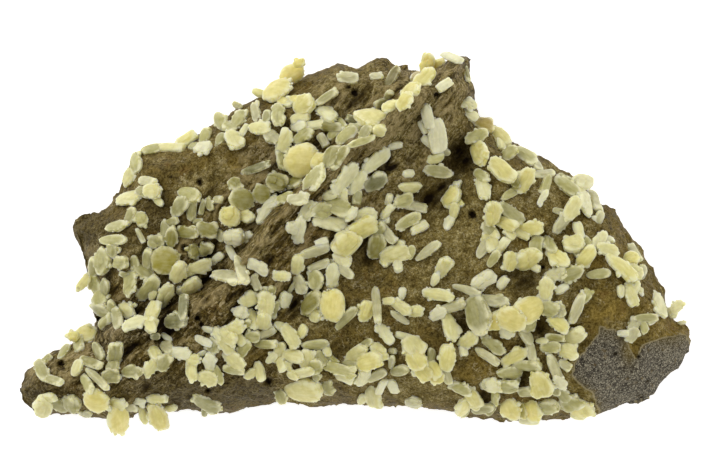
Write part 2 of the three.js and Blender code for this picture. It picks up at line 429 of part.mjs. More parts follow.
const specimen = new THREE.Group();
specimen.name = 'calcite_on_basalt';
specimen.position.set(-CENTRE[0], -CENTRE[1], 0);

function addPiece(name, solid, material) {
  const mesh = new THREE.Mesh(toGeometry(solid), material);
  mesh.name = name;
  specimen.add(mesh);
}

addPiece('basalt_matrix', matrix, BASALT);
groups.forEach((body, i) => {
  addPiece(`calcite_group_${String(i + 1).padStart(2, '0')}`, body, CALCITE);
});

export default specimen;
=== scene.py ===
# %% [markdown]
# # Calcite crystals on a broken plate of basalt
#
# The specimen is a plate of vesicular basalt about 135 mm long. A steep crest runs over it, and
# hundreds of small blunt calcite crystals have grown on its weathered skin. One end is freshly
# broken and shows grey rock. The imported model says where everything is. This file makes the looks.

# %% The imported frame
import math
import random

import bmesh
import bpy
import numpy as np
from mathutils import Euler, Matrix, Vector, bvhtree, kdtree, noise


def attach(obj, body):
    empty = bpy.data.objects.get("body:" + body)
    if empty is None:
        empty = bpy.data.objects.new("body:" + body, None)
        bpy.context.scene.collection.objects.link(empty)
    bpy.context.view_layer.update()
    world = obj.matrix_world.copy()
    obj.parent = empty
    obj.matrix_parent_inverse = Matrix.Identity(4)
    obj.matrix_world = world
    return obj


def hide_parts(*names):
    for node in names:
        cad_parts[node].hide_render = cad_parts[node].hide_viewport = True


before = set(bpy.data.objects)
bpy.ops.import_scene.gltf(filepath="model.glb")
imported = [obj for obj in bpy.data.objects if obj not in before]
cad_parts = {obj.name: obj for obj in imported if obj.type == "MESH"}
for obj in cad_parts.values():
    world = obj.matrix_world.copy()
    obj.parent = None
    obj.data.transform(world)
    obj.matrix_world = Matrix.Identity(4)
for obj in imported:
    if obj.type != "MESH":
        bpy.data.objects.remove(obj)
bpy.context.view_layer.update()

# %% [markdown]
# Places on the plate were measured in millimetres from one corner of its outline. The frame has
# its origin in the middle of the footprint, in metres, so one small helper turns one into the other.
# A second helper puts a new object into the scene.

# %% Millimetres to the frame
MM = 0.001
CENTRE = (70.8, 45.04)


def place(x, y, z=0.0):
    """A measured place in millimetres as a point of the frame."""
    return Vector(((x - CENTRE[0]) * MM, (y - CENTRE[1]) * MM, z * MM))


def put(name, data):
    """A new object of a mesh, lamp or camera, linked to the scene."""
    made = bpy.data.objects.new(name, data)
    bpy.context.collection.objects.link(made)
    return made


print("the middle of the plate", tuple(place(*CENTRE)))

# %% [markdown]
# The camera looks straight down on the crystals, as a copy stand's does. A very long lens keeps
# the tall middle and the low rim at one scale.

# %% Camera
VIEW_WIDTH = 141.6  # mm across the picture
VIEW_MIDDLE = (70.8, 47.2)
CRYSTAL_LEVEL = 28.0  # mm, the mean height of the crystals
LENS = 420.0
SENSOR = 36.0

camera_data = bpy.data.cameras.new("copy_stand")
camera_data.lens = LENS
camera_data.sensor_width = SENSOR
camera_data.clip_end = 20.0
camera = put("copy_stand", camera_data)
bpy.context.scene.camera = camera
camera.location = place(*VIEW_MIDDLE, CRYSTAL_LEVEL + VIEW_WIDTH * LENS / SENSOR)
print("camera height", round(camera.location.z, 3), "m")

# %% [markdown]
# ## The rock
#
# The shape of the plate is given by stations across it, each from the low edge to the high edge,
# and by heights here and there on its face. The crest is a line. In front of it the face rises
# gently, and behind it drops to a deeper shelf.

# %% Outline and heights of the plate
STATIONS = [
    (3.4, 15.8, 3.5, 17.4), (4.2, 13.5, 5.2, 20), (6.9, 11.5, 9, 22.6), (10, 11.9, 11, 23.7),
    (13, 11.6, 13.6, 24.6), (15.5, 11.4, 15.8, 25.6), (18.3, 10.9, 18.4, 26.2), (20, 10.6, 19.4, 28.2),
    (21.3, 10.4, 19.3, 30.4), (22.4, 10.5, 18.5, 32), (23.3, 10.6, 18.6, 35.2),
    (24.2, 10.7, 17.6, 38.4), (25, 10.9, 16.6, 41.2), (26, 11.2, 15.9, 45), (27.2, 11.6, 14.5, 48.8),
    (29, 11.8, 16.2, 50.3), (31, 11.8, 18.6, 51.4), (33.2, 11.8, 21.4, 53.2), (35.3, 11.8, 23.2, 55.6),
    (37, 12.3, 24.2, 58.2), (38.8, 12.2, 25.2, 61), (40.5, 12.1, 27, 64), (42.2, 12.1, 30, 65.1),
    (44, 12.2, 34, 65.8), (46.3, 12.1, 38.5, 67.3), (49, 12.9, 42, 69.2), (51.5, 12.9, 45, 71.2),
    (54, 13.5, 48, 73.6), (57, 13.9, 51, 74.9), (60, 14.1, 54, 75.9), (62.3, 13.4, 57.4, 77.6),
    (65, 13.5, 61.3, 79.8), (67.6, 13.6, 65, 81), (70, 13.3, 67.6, 82), (72.6, 13.2, 71.2, 81),
    (75, 13.2, 74.4, 82.6), (77.4, 13.2, 77.2, 83.4), (79.8, 13.1, 79.4, 81.2), (82, 12.9, 82.6, 79.8),
    (84.2, 12.9, 85.8, 79.5), (86.4, 12.5, 88.8, 81.8), (88.6, 12, 91.6, 83.6),
    (90.8, 11.8, 93.5, 83.2), (92.8, 11.5, 93.4, 80), (95, 11.3, 95, 77.2), (97.2, 11, 95.1, 73.4),
    (99.4, 10.8, 96.2, 70.6), (101.6, 10.5, 99.3, 69.2), (104, 10.5, 101.9, 66.6),
    (106.6, 10.5, 105.2, 64.6), (109.2, 10.5, 108.6, 63.2), (112, 10.6, 111.8, 61.3),
    (114.7, 10.7, 115, 59.4), (117.6, 11, 118, 56.3), (120.6, 11.4, 120.9, 53.2),
    (123.4, 12.6, 123.2, 52.4), (126.4, 13.8, 125.8, 48.6), (129, 14.4, 128.2, 44.1),
    (131.4, 15.2, 131.2, 40.8), (133, 18, 132.2, 37), (134.6, 19.4, 133.8, 33),
    (136.4, 20.5, 135.6, 30), (137.3, 24.2, 137.5, 29), (138.2, 26, 138.1, 28),
]

# Points along the crest: place and height.
CREST = [
    (8, 28.5, 20), (20, 27.2, 25), (34, 31, 29), (45, 37, 32), (55, 50, 35), (61, 56, 36),
    (65, 60, 36.5), (70, 65, 36.5), (77, 70, 36), (82, 75, 35.5), (88, 81, 34), (94, 85, 33),
]

# Heights of the front field and of the deeper shelf behind the crest.
FRONT = [
    (5, 16, 17), (9, 20, 19), (12, 14, 20), (20, 13, 22), (20, 19, 24), (14, 24, 19), (20, 24, 22),
    (30, 15, 24), (30, 22, 27), (31, 27, 25), (40, 14, 25), (40, 21, 28), (40, 27, 28), (50, 15, 25),
    (50, 22, 29), (60, 15, 25), (60, 22, 29), (70, 15, 25), (72, 22, 29), (80, 15, 25), (85, 22, 29),
    (95, 14, 24), (97, 22, 28), (105, 13, 23), (108, 20, 27), (115, 14, 22), (118, 22, 25),
    (125, 16, 20), (127, 24, 23), (134, 22, 18), (136, 27, 18), (45, 32, 31), (55, 34, 31),
    (62, 34, 29), (70, 34, 30), (80, 34, 30), (90, 32, 29), (100, 32, 30), (110, 32, 29), (120, 32, 27),
    (130, 31, 22), (52, 42, 32), (60, 45, 32), (70, 42, 30), (80, 43, 28), (90, 42, 29), (100, 42, 29),
    (110, 42, 28), (120, 42, 25), (128, 42, 20), (60, 51, 34), (68, 53, 31), (78, 52, 28), (88, 54, 25),
    (98, 53, 28), (108, 53, 27), (118, 52, 23), (123, 50, 20), (78, 62, 30), (86, 62, 26), (92, 63, 22),
    (98, 61, 26), (106, 59, 24), (113, 57, 21), (88, 70, 28), (95, 69, 23), (100, 66, 22), (92, 78, 30),
    (94, 73, 25),
]
SHELF = [
    (20, 31, 20), (20, 38, 19), (16, 46, 17), (26, 40, 22), (28, 50, 22), (24, 55, 18), (30, 33, 21),
    (35, 44, 23), (38, 52, 24), (45, 54, 25), (35, 60, 21), (30, 64, 18), (45, 62, 21), (55, 60, 24),
    (55, 70, 21), (45, 70, 18), (62, 66, 25), (65, 75, 22), (62, 79, 17), (74, 76, 22), (75, 82, 17),
    (82, 79, 24), (68, 70, 25), (88, 83, 26),
]

# Hollows and swells: place, height, long and short radius, direction in degrees.
SWELLS = [
    (86, 55, -3.5, 4, 3, 40), (92, 64, -4, 3, 3, 0), (91, 59, -2, 3, 3, 0), (73.5, 43.5, -3, 4, 3, 60),
    (59, 34, -3, 5, 3, 60), (33.5, 31, -3, 3, 2.5, 0), (104.5, 38, -2, 4, 3, 0),
    (97, 15.5, -2.5, 3, 2, 70), (105, 18.5, -2, 2.5, 2, 0), (108, 29, -2.5, 3, 2, 60),
    (92.5, 29.5, -2.5, 3, 2.5, 60), (40.2, 42, -1.5, 3, 2.5, 0), (34, 27.2, -2, 6, 1.5, 10),
    (84, 63, 1.5, 6, 2, 55), (102, 31, 1.5, 6, 4, 10), (83, 23, 1.5, 4, 3, -50),
    (46, 33, 1.5, 5, 2.5, 25), (70, 58, 1.2, 5, 2, 50), (66, 24, -1.5, 5, 3, 0),
    (52, 22, -1.5, 4, 2, -60), (112, 47, -1.5, 5, 3, 0),
]

print(len(STATIONS), "stations,", len(FRONT) + len(SHELF), "heights")

# %% [markdown]
# The height of the smooth face at any place is a blend of the listed heights, weighted by nearness.
# It rises to the crest, drops behind it, and rounds over near the edge.

# %% Height of the smooth face
RIM_SHARE = 0.6  # height of the rim, as a share of the face beside it
RIM_ROUND = 6.0  # mm, how far in from the edge the face is rounded
CREST_FRONT = 6.0  # mm, in which the front rises to the crest
CREST_BACK = 2.8  # mm, in which the back drops from it
HEIGHT_BLEND = 3.5  # mm, how softly one listed height passes into the next


def smoothstep(t):
    """0 below 0, 1 above 1, and smooth between."""
    t = np.clip(t, 0.0, 1.0)
    return t * t * (3.0 - 2.0 * t)


def to_segment(a, b, x, y):
    """The share along the line from a to b that is nearest, the distance, and whether x, y is left."""
    dx, dy = b[0] - a[0], b[1] - a[1]
    along = np.clip(((x - a[0]) * dx + (y - a[1]) * dy) / (dx * dx + dy * dy), 0.0, 1.0)
    nx, ny = x - a[0] - along * dx, y - a[1] - along * dy
    return along, np.hypot(nx, ny), dx * ny - dy * nx > 0


def blend_heights(points, x, y):
    """The mean of the listed heights, weighted by nearness."""
    weight = np.zeros_like(x)
    total = np.zeros_like(x)
    for px, py, height in points:
        w = ((px - x) ** 2 + (py - y) ** 2 + HEIGHT_BLEND**2) ** -2.0
        weight += w
        total += w * height
    return total / weight


def crest_near(x, y):
    """Distance to the crest, its height there, and whether the place is behind it."""
    best = np.full_like(x, 1e9)
    height = np.zeros_like(x)
    behind = np.zeros(x.shape, bool)
    for a, b in zip(CREST, CREST[1:]):
        along, distance, left = to_segment(a, b, x, y)
        nearer = distance < best
        best = np.where(nearer, distance, best)
        height = np.where(nearer, a[2] + (b[2] - a[2]) * along, height)
        behind = np.where(nearer, left, behind)
    return best, height, behind


def gauss(x, y, cx, cy, long, short, turn):
    """1 at (cx, cy), falling off over an ellipse that is turned by so many degrees."""
    a = math.radians(turn)
    p = ((x - cx) * math.cos(a) + (y - cy) * math.sin(a)) / long
    q = ((y - cy) * math.cos(a) - (x - cx) * math.sin(a)) / short
    return np.exp(-(p * p + q * q))


def face_height(x, y):
    """Height of the face before its rim is rounded, in mm."""
    distance, crest, behind = crest_near(x, y)
    field = np.where(behind, blend_heights(SHELF, x, y), blend_heights(FRONT, x, y))
    rise = smoothstep(1.0 - distance / np.where(behind, CREST_BACK, CREST_FRONT))
    swell = sum(h * gauss(x, y, cx, cy, a, b, turn) for cx, cy, h, a, b, turn in SWELLS)
    return field + (crest - field) * rise + swell


OUTLINE = [s[:2] for s in STATIONS] + [s[2:] for s in reversed(STATIONS)]


def outline_distance(x, y):
    """Distance in mm to the outline of the plate."""
    best = np.full_like(x, 1e9)
    for a, b in zip(OUTLINE, OUTLINE[1:] + OUTLINE[:1]):
        best = np.minimum(best, to_segment(a, b, x, y)[1])
    return best


def smooth_height(x, y):
    """Height of the smooth face in mm, rounded over near the edge."""
    inner = np.minimum(outline_distance(x, y) / RIM_ROUND, 1.0)
    return face_height(x, y) * (1.0 - (1.0 - RIM_SHARE) * (1.0 - inner) ** 2)


middle_height = smooth_height(np.array([70.8]), np.array([45.0]))[0]
print("height in the middle", round(float(middle_height), 1), "mm")

# %% [markdown]
# Weathered basalt is never smooth. Its skin is lumpy, it is drawn out in low ribs along the crest,
# and gas bubbles left round pits with a raised rim. The fresh break at one end is flat and only
# grainy. Each is a small height that is added to the smooth face.

# %% Relief of the weathered skin
VESICLES = [
    (11.9, 21.2, 0.9), (39.5, 31.1, 0.8), (40.2, 29.6, 0.6), (41.5, 16.5, 0.7), (53.7, 18.2, 0.8),
    (39.8, 58.0, 0.8), (36.9, 44.7, 0.8), (70.8, 76.0, 0.8), (69.7, 77.0, 0.7), (87.2, 75.4, 0.8),
    (94.5, 51.5, 0.85), (94.5, 60.5, 0.4), (79.7, 47.1, 0.35), (34.0, 59.0, 0.45), (108.5, 41.0, 0.6),
    (69.0, 18.0, 0.5), (123.2, 23.6, 0.45), (127.8, 23.0, 0.5), (124.9, 20.7, 0.3), (129.8, 18.0, 0.4),
    (124.0, 16.3, 0.3), (128.7, 14.9, 0.75), (126.6, 15.4, 0.3),
]
BREAK = [
    (120.1, 29.0), (124.2, 28.0), (125.9, 25.1), (127.3, 22.5), (128.7, 25.2), (133.5, 26.9),
    (137.6, 27.3), (140.0, 24.0), (138.5, 19.0), (133.5, 16.0), (131.4, 13.0), (126.6, 11.0),
    (120.8, 10.5), (119.8, 12.6), (118.8, 15.7), (115.4, 18.1), (114.5, 19.4), (115.0, 21.8),
    (117.7, 24.9), (119.8, 27.6),
]
CREST_TURN = 48.0  # degrees, the way the ribs of the skin are drawn out
CREST_REACH = 16.0  # mm from the crest, how far the ribs are strong
PIT_DEPTH = 1.9  # of a gas bubble, as a share of its radius
PIT_RIM = 0.3  # how far its rim stands up
BREAK_EDGE = 0.35  # mm, in which the skin gives way to the fresh break
BREAK_DROP = 0.45  # mm, how far the break lies below the skin


def cloud(x, y, size, seed, octaves=3, stretch=1.0, turn=0.0):
    """Cloudy noise of about -1 to 1. The lumps are so many mm across, and may be drawn out one way."""
    c, s = math.cos(math.radians(turn)), math.sin(math.radians(turn))
    p = (x * c + y * s) / (size * stretch)
    q = (y * c - x * s) / size
    return np.array([noise.fractal((a, b, seed), 1.0, 2.0, octaves) for a, b in zip(p, q)])


def inside(polygon, x, y):
    """Signed distance to a closed outline, positive inside."""
    within = np.zeros(x.shape, bool)
    best = np.full_like(x, 1e9)
    for a, b in zip(polygon, polygon[1:] + polygon[:1]):
        best = np.minimum(best, to_segment(a, b, x, y)[1])
        crosses = (a[1] > y) != (b[1] > y)
        level = a[0] + (b[0] - a[0]) * (y - a[1]) / ((b[1] - a[1]) or 1e-9)
        within ^= crosses & (x < level)
    return np.where(within, best, -best)


def relief(x, y):
    """Added height in mm, the share of fresh break, and the fine part of the relief."""
    distance = crest_near(x, y)[0]
    near_crest = np.exp(-((distance / CREST_REACH) ** 2))
    lumps = 0.75 * cloud(x, y, 8.0, 3.1)
    ribs = (0.16 + 0.84 * near_crest) * cloud(x, y, 2.6, 7.7, stretch=4.0, turn=CREST_TURN)
    knobs = 0.3 * cloud(x, y, 2.4, 11.3)
    edges = 1.0 - 3.2 * np.abs(cloud(x, y, 2.4, 1.7, octaves=3, stretch=3.0, turn=CREST_TURN))
    knobs += (0.12 + 0.6 * near_crest) * np.clip(edges, -0.7, 1.0)
    lip = 0.9 * np.exp(-((distance / 0.9) ** 2)) * (0.7 + 0.6 * cloud(x, y, 3.0, 5.5))
    pits = np.zeros_like(x)
    for cx, cy, r in VESICLES:
        d = np.hypot(x - cx, y - cy) / r
        rim = np.exp(-(((d - 1.4) / 0.25) ** 2))
        pits += -PIT_DEPTH * r * smoothstep(1.35 - d) + PIT_RIM * r * rim
    into_break = inside(BREAK, x, y) + 0.25 * cloud(x, y, 1.2, 2.2)
    fresh = smoothstep(into_break / BREAK_EDGE + 0.5)
    grain = -BREAK_DROP + 0.14 * cloud(x, y, 0.9, 9.9) + 0.3 * cloud(x, y, 5.0, 4.4)
    fine = (ribs + knobs + lip) * (1.0 - fresh) + pits
    return fine + lumps * (1.0 - fresh) + grain * fresh, fresh, fine


print("deepest gas bubble", round(PIT_DEPTH * max(r for _, _, r in VESICLES), 1), "mm")

# %% [markdown]
# The rock is one closed skin. It starts as a flat unit grid. Its border is extruded down in rings,
# which become the broken walls, and the last ring is closed by the flat underside. Then this unit
# block is warped on to the stations, so no face or vertex list is needed. A voxel remesh could do
# the same, but it would waste its detail on the underside.

# %% The closed unit block
FACE_COLUMNS = 380
FACE_ROWS = 185
# The wall below the edge: share of the height of the edge, and how far in from the edge, mm.
WALL_PROFILE = [(1.0, 0.0), (0.88, -0.15), (0.7, 0.1), (0.5, 0.8), (0.3, 2.0), (0.12, 3.6), (0.0, 5.0)]
WALL_RINGS = 22
wall_share = np.linspace(1.0, 0.0, WALL_RINGS + 1)
profile_down = [1.0 - share for share, _ in WALL_PROFILE]
wall_inset = np.interp(1.0 - wall_share, profile_down, [inward for _, inward in WALL_PROFILE])

rock_bm = bmesh.new()
bmesh.ops.create_grid(rock_bm, x_segments=FACE_COLUMNS, y_segments=FACE_ROWS, size=0.5)
ring = [e for e in rock_bm.edges if e.is_boundary]
for depth in range(WALL_RINGS):
    made = bmesh.ops.extrude_edge_only(rock_bm, edges=ring)["geom"]
    for v in made:
        if isinstance(v, bmesh.types.BMVert):
            v.co.z = -1.0 - depth
    ring = [e for e in made if isinstance(e, bmesh.types.BMEdge)]
bmesh.ops.contextual_create(rock_bm, geom=ring)
print("unit block", len(rock_bm.verts), "vertices,", len(rock_bm.faces), "faces")

# %% [markdown]
# Now the warp. A share along the plate picks a place between two stations, and a share across it a
# place between their edges. Rings of the wall use the same map, held in from its borders by the
# inset, so they never cross.

# %% Warp the block on to the plate
stations = np.array(STATIONS)
middles = (stations[:, :2] + stations[:, 2:]) / 2
run = np.concatenate([[0.0], np.cumsum(np.hypot(*np.diff(middles, axis=0).T))])
run_mm = run[-1]
unit = np.array([v.co for v in rock_bm.verts])
level = np.rint(-unit[:, 2]).astype(int)
inset = wall_inset[level]
share_down = wall_share[level]


def on_plate(along, across, inset):
    """The place for shares along and across the plate, held in from the edges by the inset."""
    margin = inset / run_mm
    along = np.clip(along, margin, 1.0 - margin) * run_mm
    edges = [np.interp(along, run, stations[:, k]) for k in range(4)]
    span = np.hypot(edges[2] - edges[0], edges[3] - edges[1])
    held = np.minimum(inset / span, 0.3)
    across = np.clip(across, held, 1.0 - held)
    return edges[0] + (edges[2] - edges[0]) * across, edges[1] + (edges[3] - edges[1]) * across


s, t = unit[:, 0] + 0.5, unit[:, 1] + 0.5
edge_x, edge_y = on_plate(s, t, np.zeros_like(s))
x, y = on_plate(s, t, inset)
added, fresh = relief(edge_x, edge_y)[:2]
top = smooth_height(edge_x, edge_y) + added
z = top * share_down
for v, px, py, pz in zip(rock_bm.verts, x, y, z):
    v.co = place(px, py, pz)
print("face from", round(top.min(), 1), "to", round(top.max(), 1), "mm")

# %% [markdown]
# The walls are hackly: rock breaks in small flat facets with steps between them. Cells of a Voronoi
# pattern give the facets, each tilted its own way. The outline is nibbled too. Every vertex moves
# along its normal by this solid noise, the face only a little, the underside not at all.
# A tilt is three readings of the plain noise, a step apart, because noise_vector gives other values
# each time Blender starts, and the rock has to come out the same on every run.

# %% Break up the walls
TILT_SHIFTS = (Vector((0.0, 0.0, 0.0)), Vector((17.3, 0.0, 0.0)), Vector((0.0, 31.7, 0.0)))
WALL_WAVE, WALL_FACET, WALL_CHIP = 1.1, 0.8, 0.3  # mm, the strengths on the walls
FACE_WAVE, FACE_FACET, FACE_CHIP = 0.2, 0.24, 0.12  # mm, on the face
ROUGHNESS = 0.08  # mm, everywhere
TURNS_IN = 4  # rings, from the face's roughness to that of the walls
LOWEST = 0.15  # mm, so that no part of the wall dips below the underside


def hackle(p, size):
    """Tilted facets about so many mm across, from about -1 to 1."""
    nearest = noise.voronoi(p / size)[1][0]
    tilt = Vector([noise.noise(nearest * 7.3 + shift) for shift in TILT_SHIFTS])
    return (p / size - nearest).dot(tilt) * 2.0 + 0.5 * noise.noise(nearest * 5.1)


rock_bm.normal_update()
for v, deep, raw in zip(rock_bm.verts, level, fresh):
    if deep == WALL_RINGS:
        continue
    p = v.co / MM
    down = min(deep, TURNS_IN) / TURNS_IN
    waves = WALL_WAVE * noise.fractal(p / 8.0, 1.0, 2.0, 3)
    wall = waves + WALL_FACET * hackle(p, 5.0) + WALL_CHIP * hackle(p + p.yzx, 2.2)
    face = (FACE_FACET * hackle(p, 3.2) + FACE_CHIP * hackle(p + p.yzx, 1.4)) * (1 - down)
    face = (face + FACE_WAVE * noise.fractal(p / 1.4, 1.0, 2.0, 3)) * (1 - 0.7 * raw)
    fine = ROUGHNESS * noise.fractal(p / 0.8, 1.0, 2.0, 2)
    v.co += v.normal * (wall * down + face + fine) * MM
    v.co.z = max(v.co.z, LOWEST * MM)
bmesh.ops.remove_doubles(rock_bm, verts=rock_bm.verts, dist=0.02 * MM)
bmesh.ops.dissolve_degenerate(rock_bm, edges=rock_bm.edges, dist=0.01 * MM)
bmesh.ops.recalc_face_normals(rock_bm, faces=rock_bm.faces)
rock_volume = rock_bm.calc_volume(signed=True)
if rock_volume < 0.0:  # the skin was turned inside out
    bmesh.ops.reverse_faces(rock_bm, faces=rock_bm.faces)
print("rock volume before any turning", round(rock_volume * 1e6, 1), "cm3")
rock_triangles = sum(len(f.verts) - 2 for f in rock_bm.faces)
print("rock", len(rock_bm.verts), "vertices,", rock_triangles, "triangles")

# %% [markdown]
# The colours of the rock follow its history and its relief, so each vertex also carries where it
# belongs: the fresh break, dusty grey films, golden stained skin, hollows and low places that get
# painted shade, how near the crest it is, and how far it stands above or below the smooth face, by
# which the material paints shade in low places and light on high ones.
# A material reads these as attributes, which stay on the surface from every side. They are worked out
# from above, so on the walls they fade or wander, or they would run down in straight streaks.

# %% What each place of the rock is like
# Films of dust, golden stains and places of painted shade: place, long and short radius, direction in
# degrees.
DUSTY = [
    (90, 50, 11, 4, 80), (103.5, 36, 6, 3.5, 10), (62, 31, 5, 3, 0), (84, 62, 12, 3.5, 52),
    (42, 59, 6, 3, 20), (26, 45, 5, 4, 0), (33, 36, 7, 3, 35), (59, 15, 5, 2.5, 0),
    (84, 16, 8, 3, 0), (110, 55, 5, 3, 60), (70, 76, 7, 4, 0), (78, 66, 14, 2.5, 50),
    (47, 42, 8, 2, 20), (13, 22, 2, 2, 0), (118, 16, 3, 5, 40), (86, 41, 5, 5, 0), (95, 45, 6, 4, 0),
    (100, 55, 6, 3, 0), (112, 38, 4, 3, 0), (96, 34, 5, 3, 0),
]
GOLDEN = [
    (124, 31.5, 8, 4, 0), (134, 28.5, 5, 3, 0), (117, 14.5, 4.5, 2, -50), (126, 24.5, 1.5, 3, 0),
    (103, 49, 4, 3, 0), (118, 41, 7, 3, 20), (48, 61.5, 5, 2.5, 0), (97, 20, 5, 4, 0), (21, 51, 3, 2, 20),
    (104.5, 38, 2.5, 2, 0),
]
# Hollows and low places that are given painted shade; in some the skin is also a darker brown.
SHADED = [
    (19, 43, 3, 9, 0), (36, 17, 18, 4, 0), (92, 63, 3, 4, 0), (8, 16, 6, 4, 0), (71.5, 46, 3, 4, 0),
    (30, 33, 5, 4, 0), (27, 27, 9, 2, 15), (50, 28, 8, 2, 0), (92.5, 29.5, 3, 2, 0), (54, 63, 6, 2.5, 0),
    (18.5, 49, 5, 5, 0), (46, 16.5, 11, 3, 0), (30, 52, 6, 5, 0), (22, 30, 5, 3, 0),
]
SWAY = 4.0  # mm, how far the patterns wander on the walls
LEVEL_FROM = 0.6  # upward part of a normal, from which a place counts as level
# The painted grooves and lines of the crest fade out over this distance.
CREST_LOOKS = 13.0  # mm from the crest, how far its lines and grooves reach
LIFT_RANGE = 1.9  # mm, from the lowest to the highest that the material tells apart
DIP_SHARE = 0.3  # how much the broad hollows count in that

rock_mesh = bpy.data.meshes.new("basalt")
rock_bm.to_mesh(rock_mesh)
rock_tree = bvhtree.BVHTree.FromBMesh(rock_bm)
rock_bm.free()
co = np.empty(len(rock_mesh.vertices) * 3)
rock_mesh.vertices.foreach_get("co", co)
rock_x = co[0::3] / MM + CENTRE[0]
rock_y = co[1::3] / MM + CENTRE[1]
rock_z = co[2::3] / MM
spots = list(zip(rock_x, rock_y, rock_z))
normals = np.empty(len(rock_mesh.vertices) * 3)
rock_mesh.vertex_normals.foreach_get("vector", normals)
facing_up = smoothstep(normals[2::3] / LEVEL_FROM)
wander = np.array([noise.noise((px / 7, py / 7, pz / 3)) for px, py, pz in spots])
sway = SWAY * wander * (1.0 - facing_up)
rock_fresh, rock_fine = relief(rock_x + sway, rock_y - sway)[1:]
rock_fine *= facing_up
dips = sum(min(h, 0) * gauss(rock_x, rock_y, cx, cy, *shape) for cx, cy, h, *shape in SWELLS)


def spread(patches):
    """How much each vertex belongs to any of the listed patches, from 0 to 1."""
    return np.clip(sum(gauss(rock_x, rock_y, *patch) for patch in patches), 0.0, 1.0)


def give(mesh, name, values):
    """Adds a named value for each vertex, for a material to read."""
    mesh.attributes.new(name, "FLOAT", "POINT").data.foreach_set("value", np.asarray(values, np.float32))


give(rock_mesh, "fresh", rock_fresh)
give(rock_mesh, "dust", spread(DUSTY))
give(rock_mesh, "gold", spread(GOLDEN))
give(rock_mesh, "shaded", spread(SHADED))
give(rock_mesh, "crest", np.exp(-((crest_near(rock_x, rock_y)[0] / CREST_LOOKS) ** 2)))
give(rock_mesh, "lift", np.clip(0.5 + (rock_fine + dips * DIP_SHARE) / LIFT_RANGE, 0.0, 1.0))

rock = put("basalt", rock_mesh)
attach(rock, "root")
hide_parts("basalt_matrix")
print("rock carries", [a.name for a in rock_mesh.attributes if a.data_type == "FLOAT"])
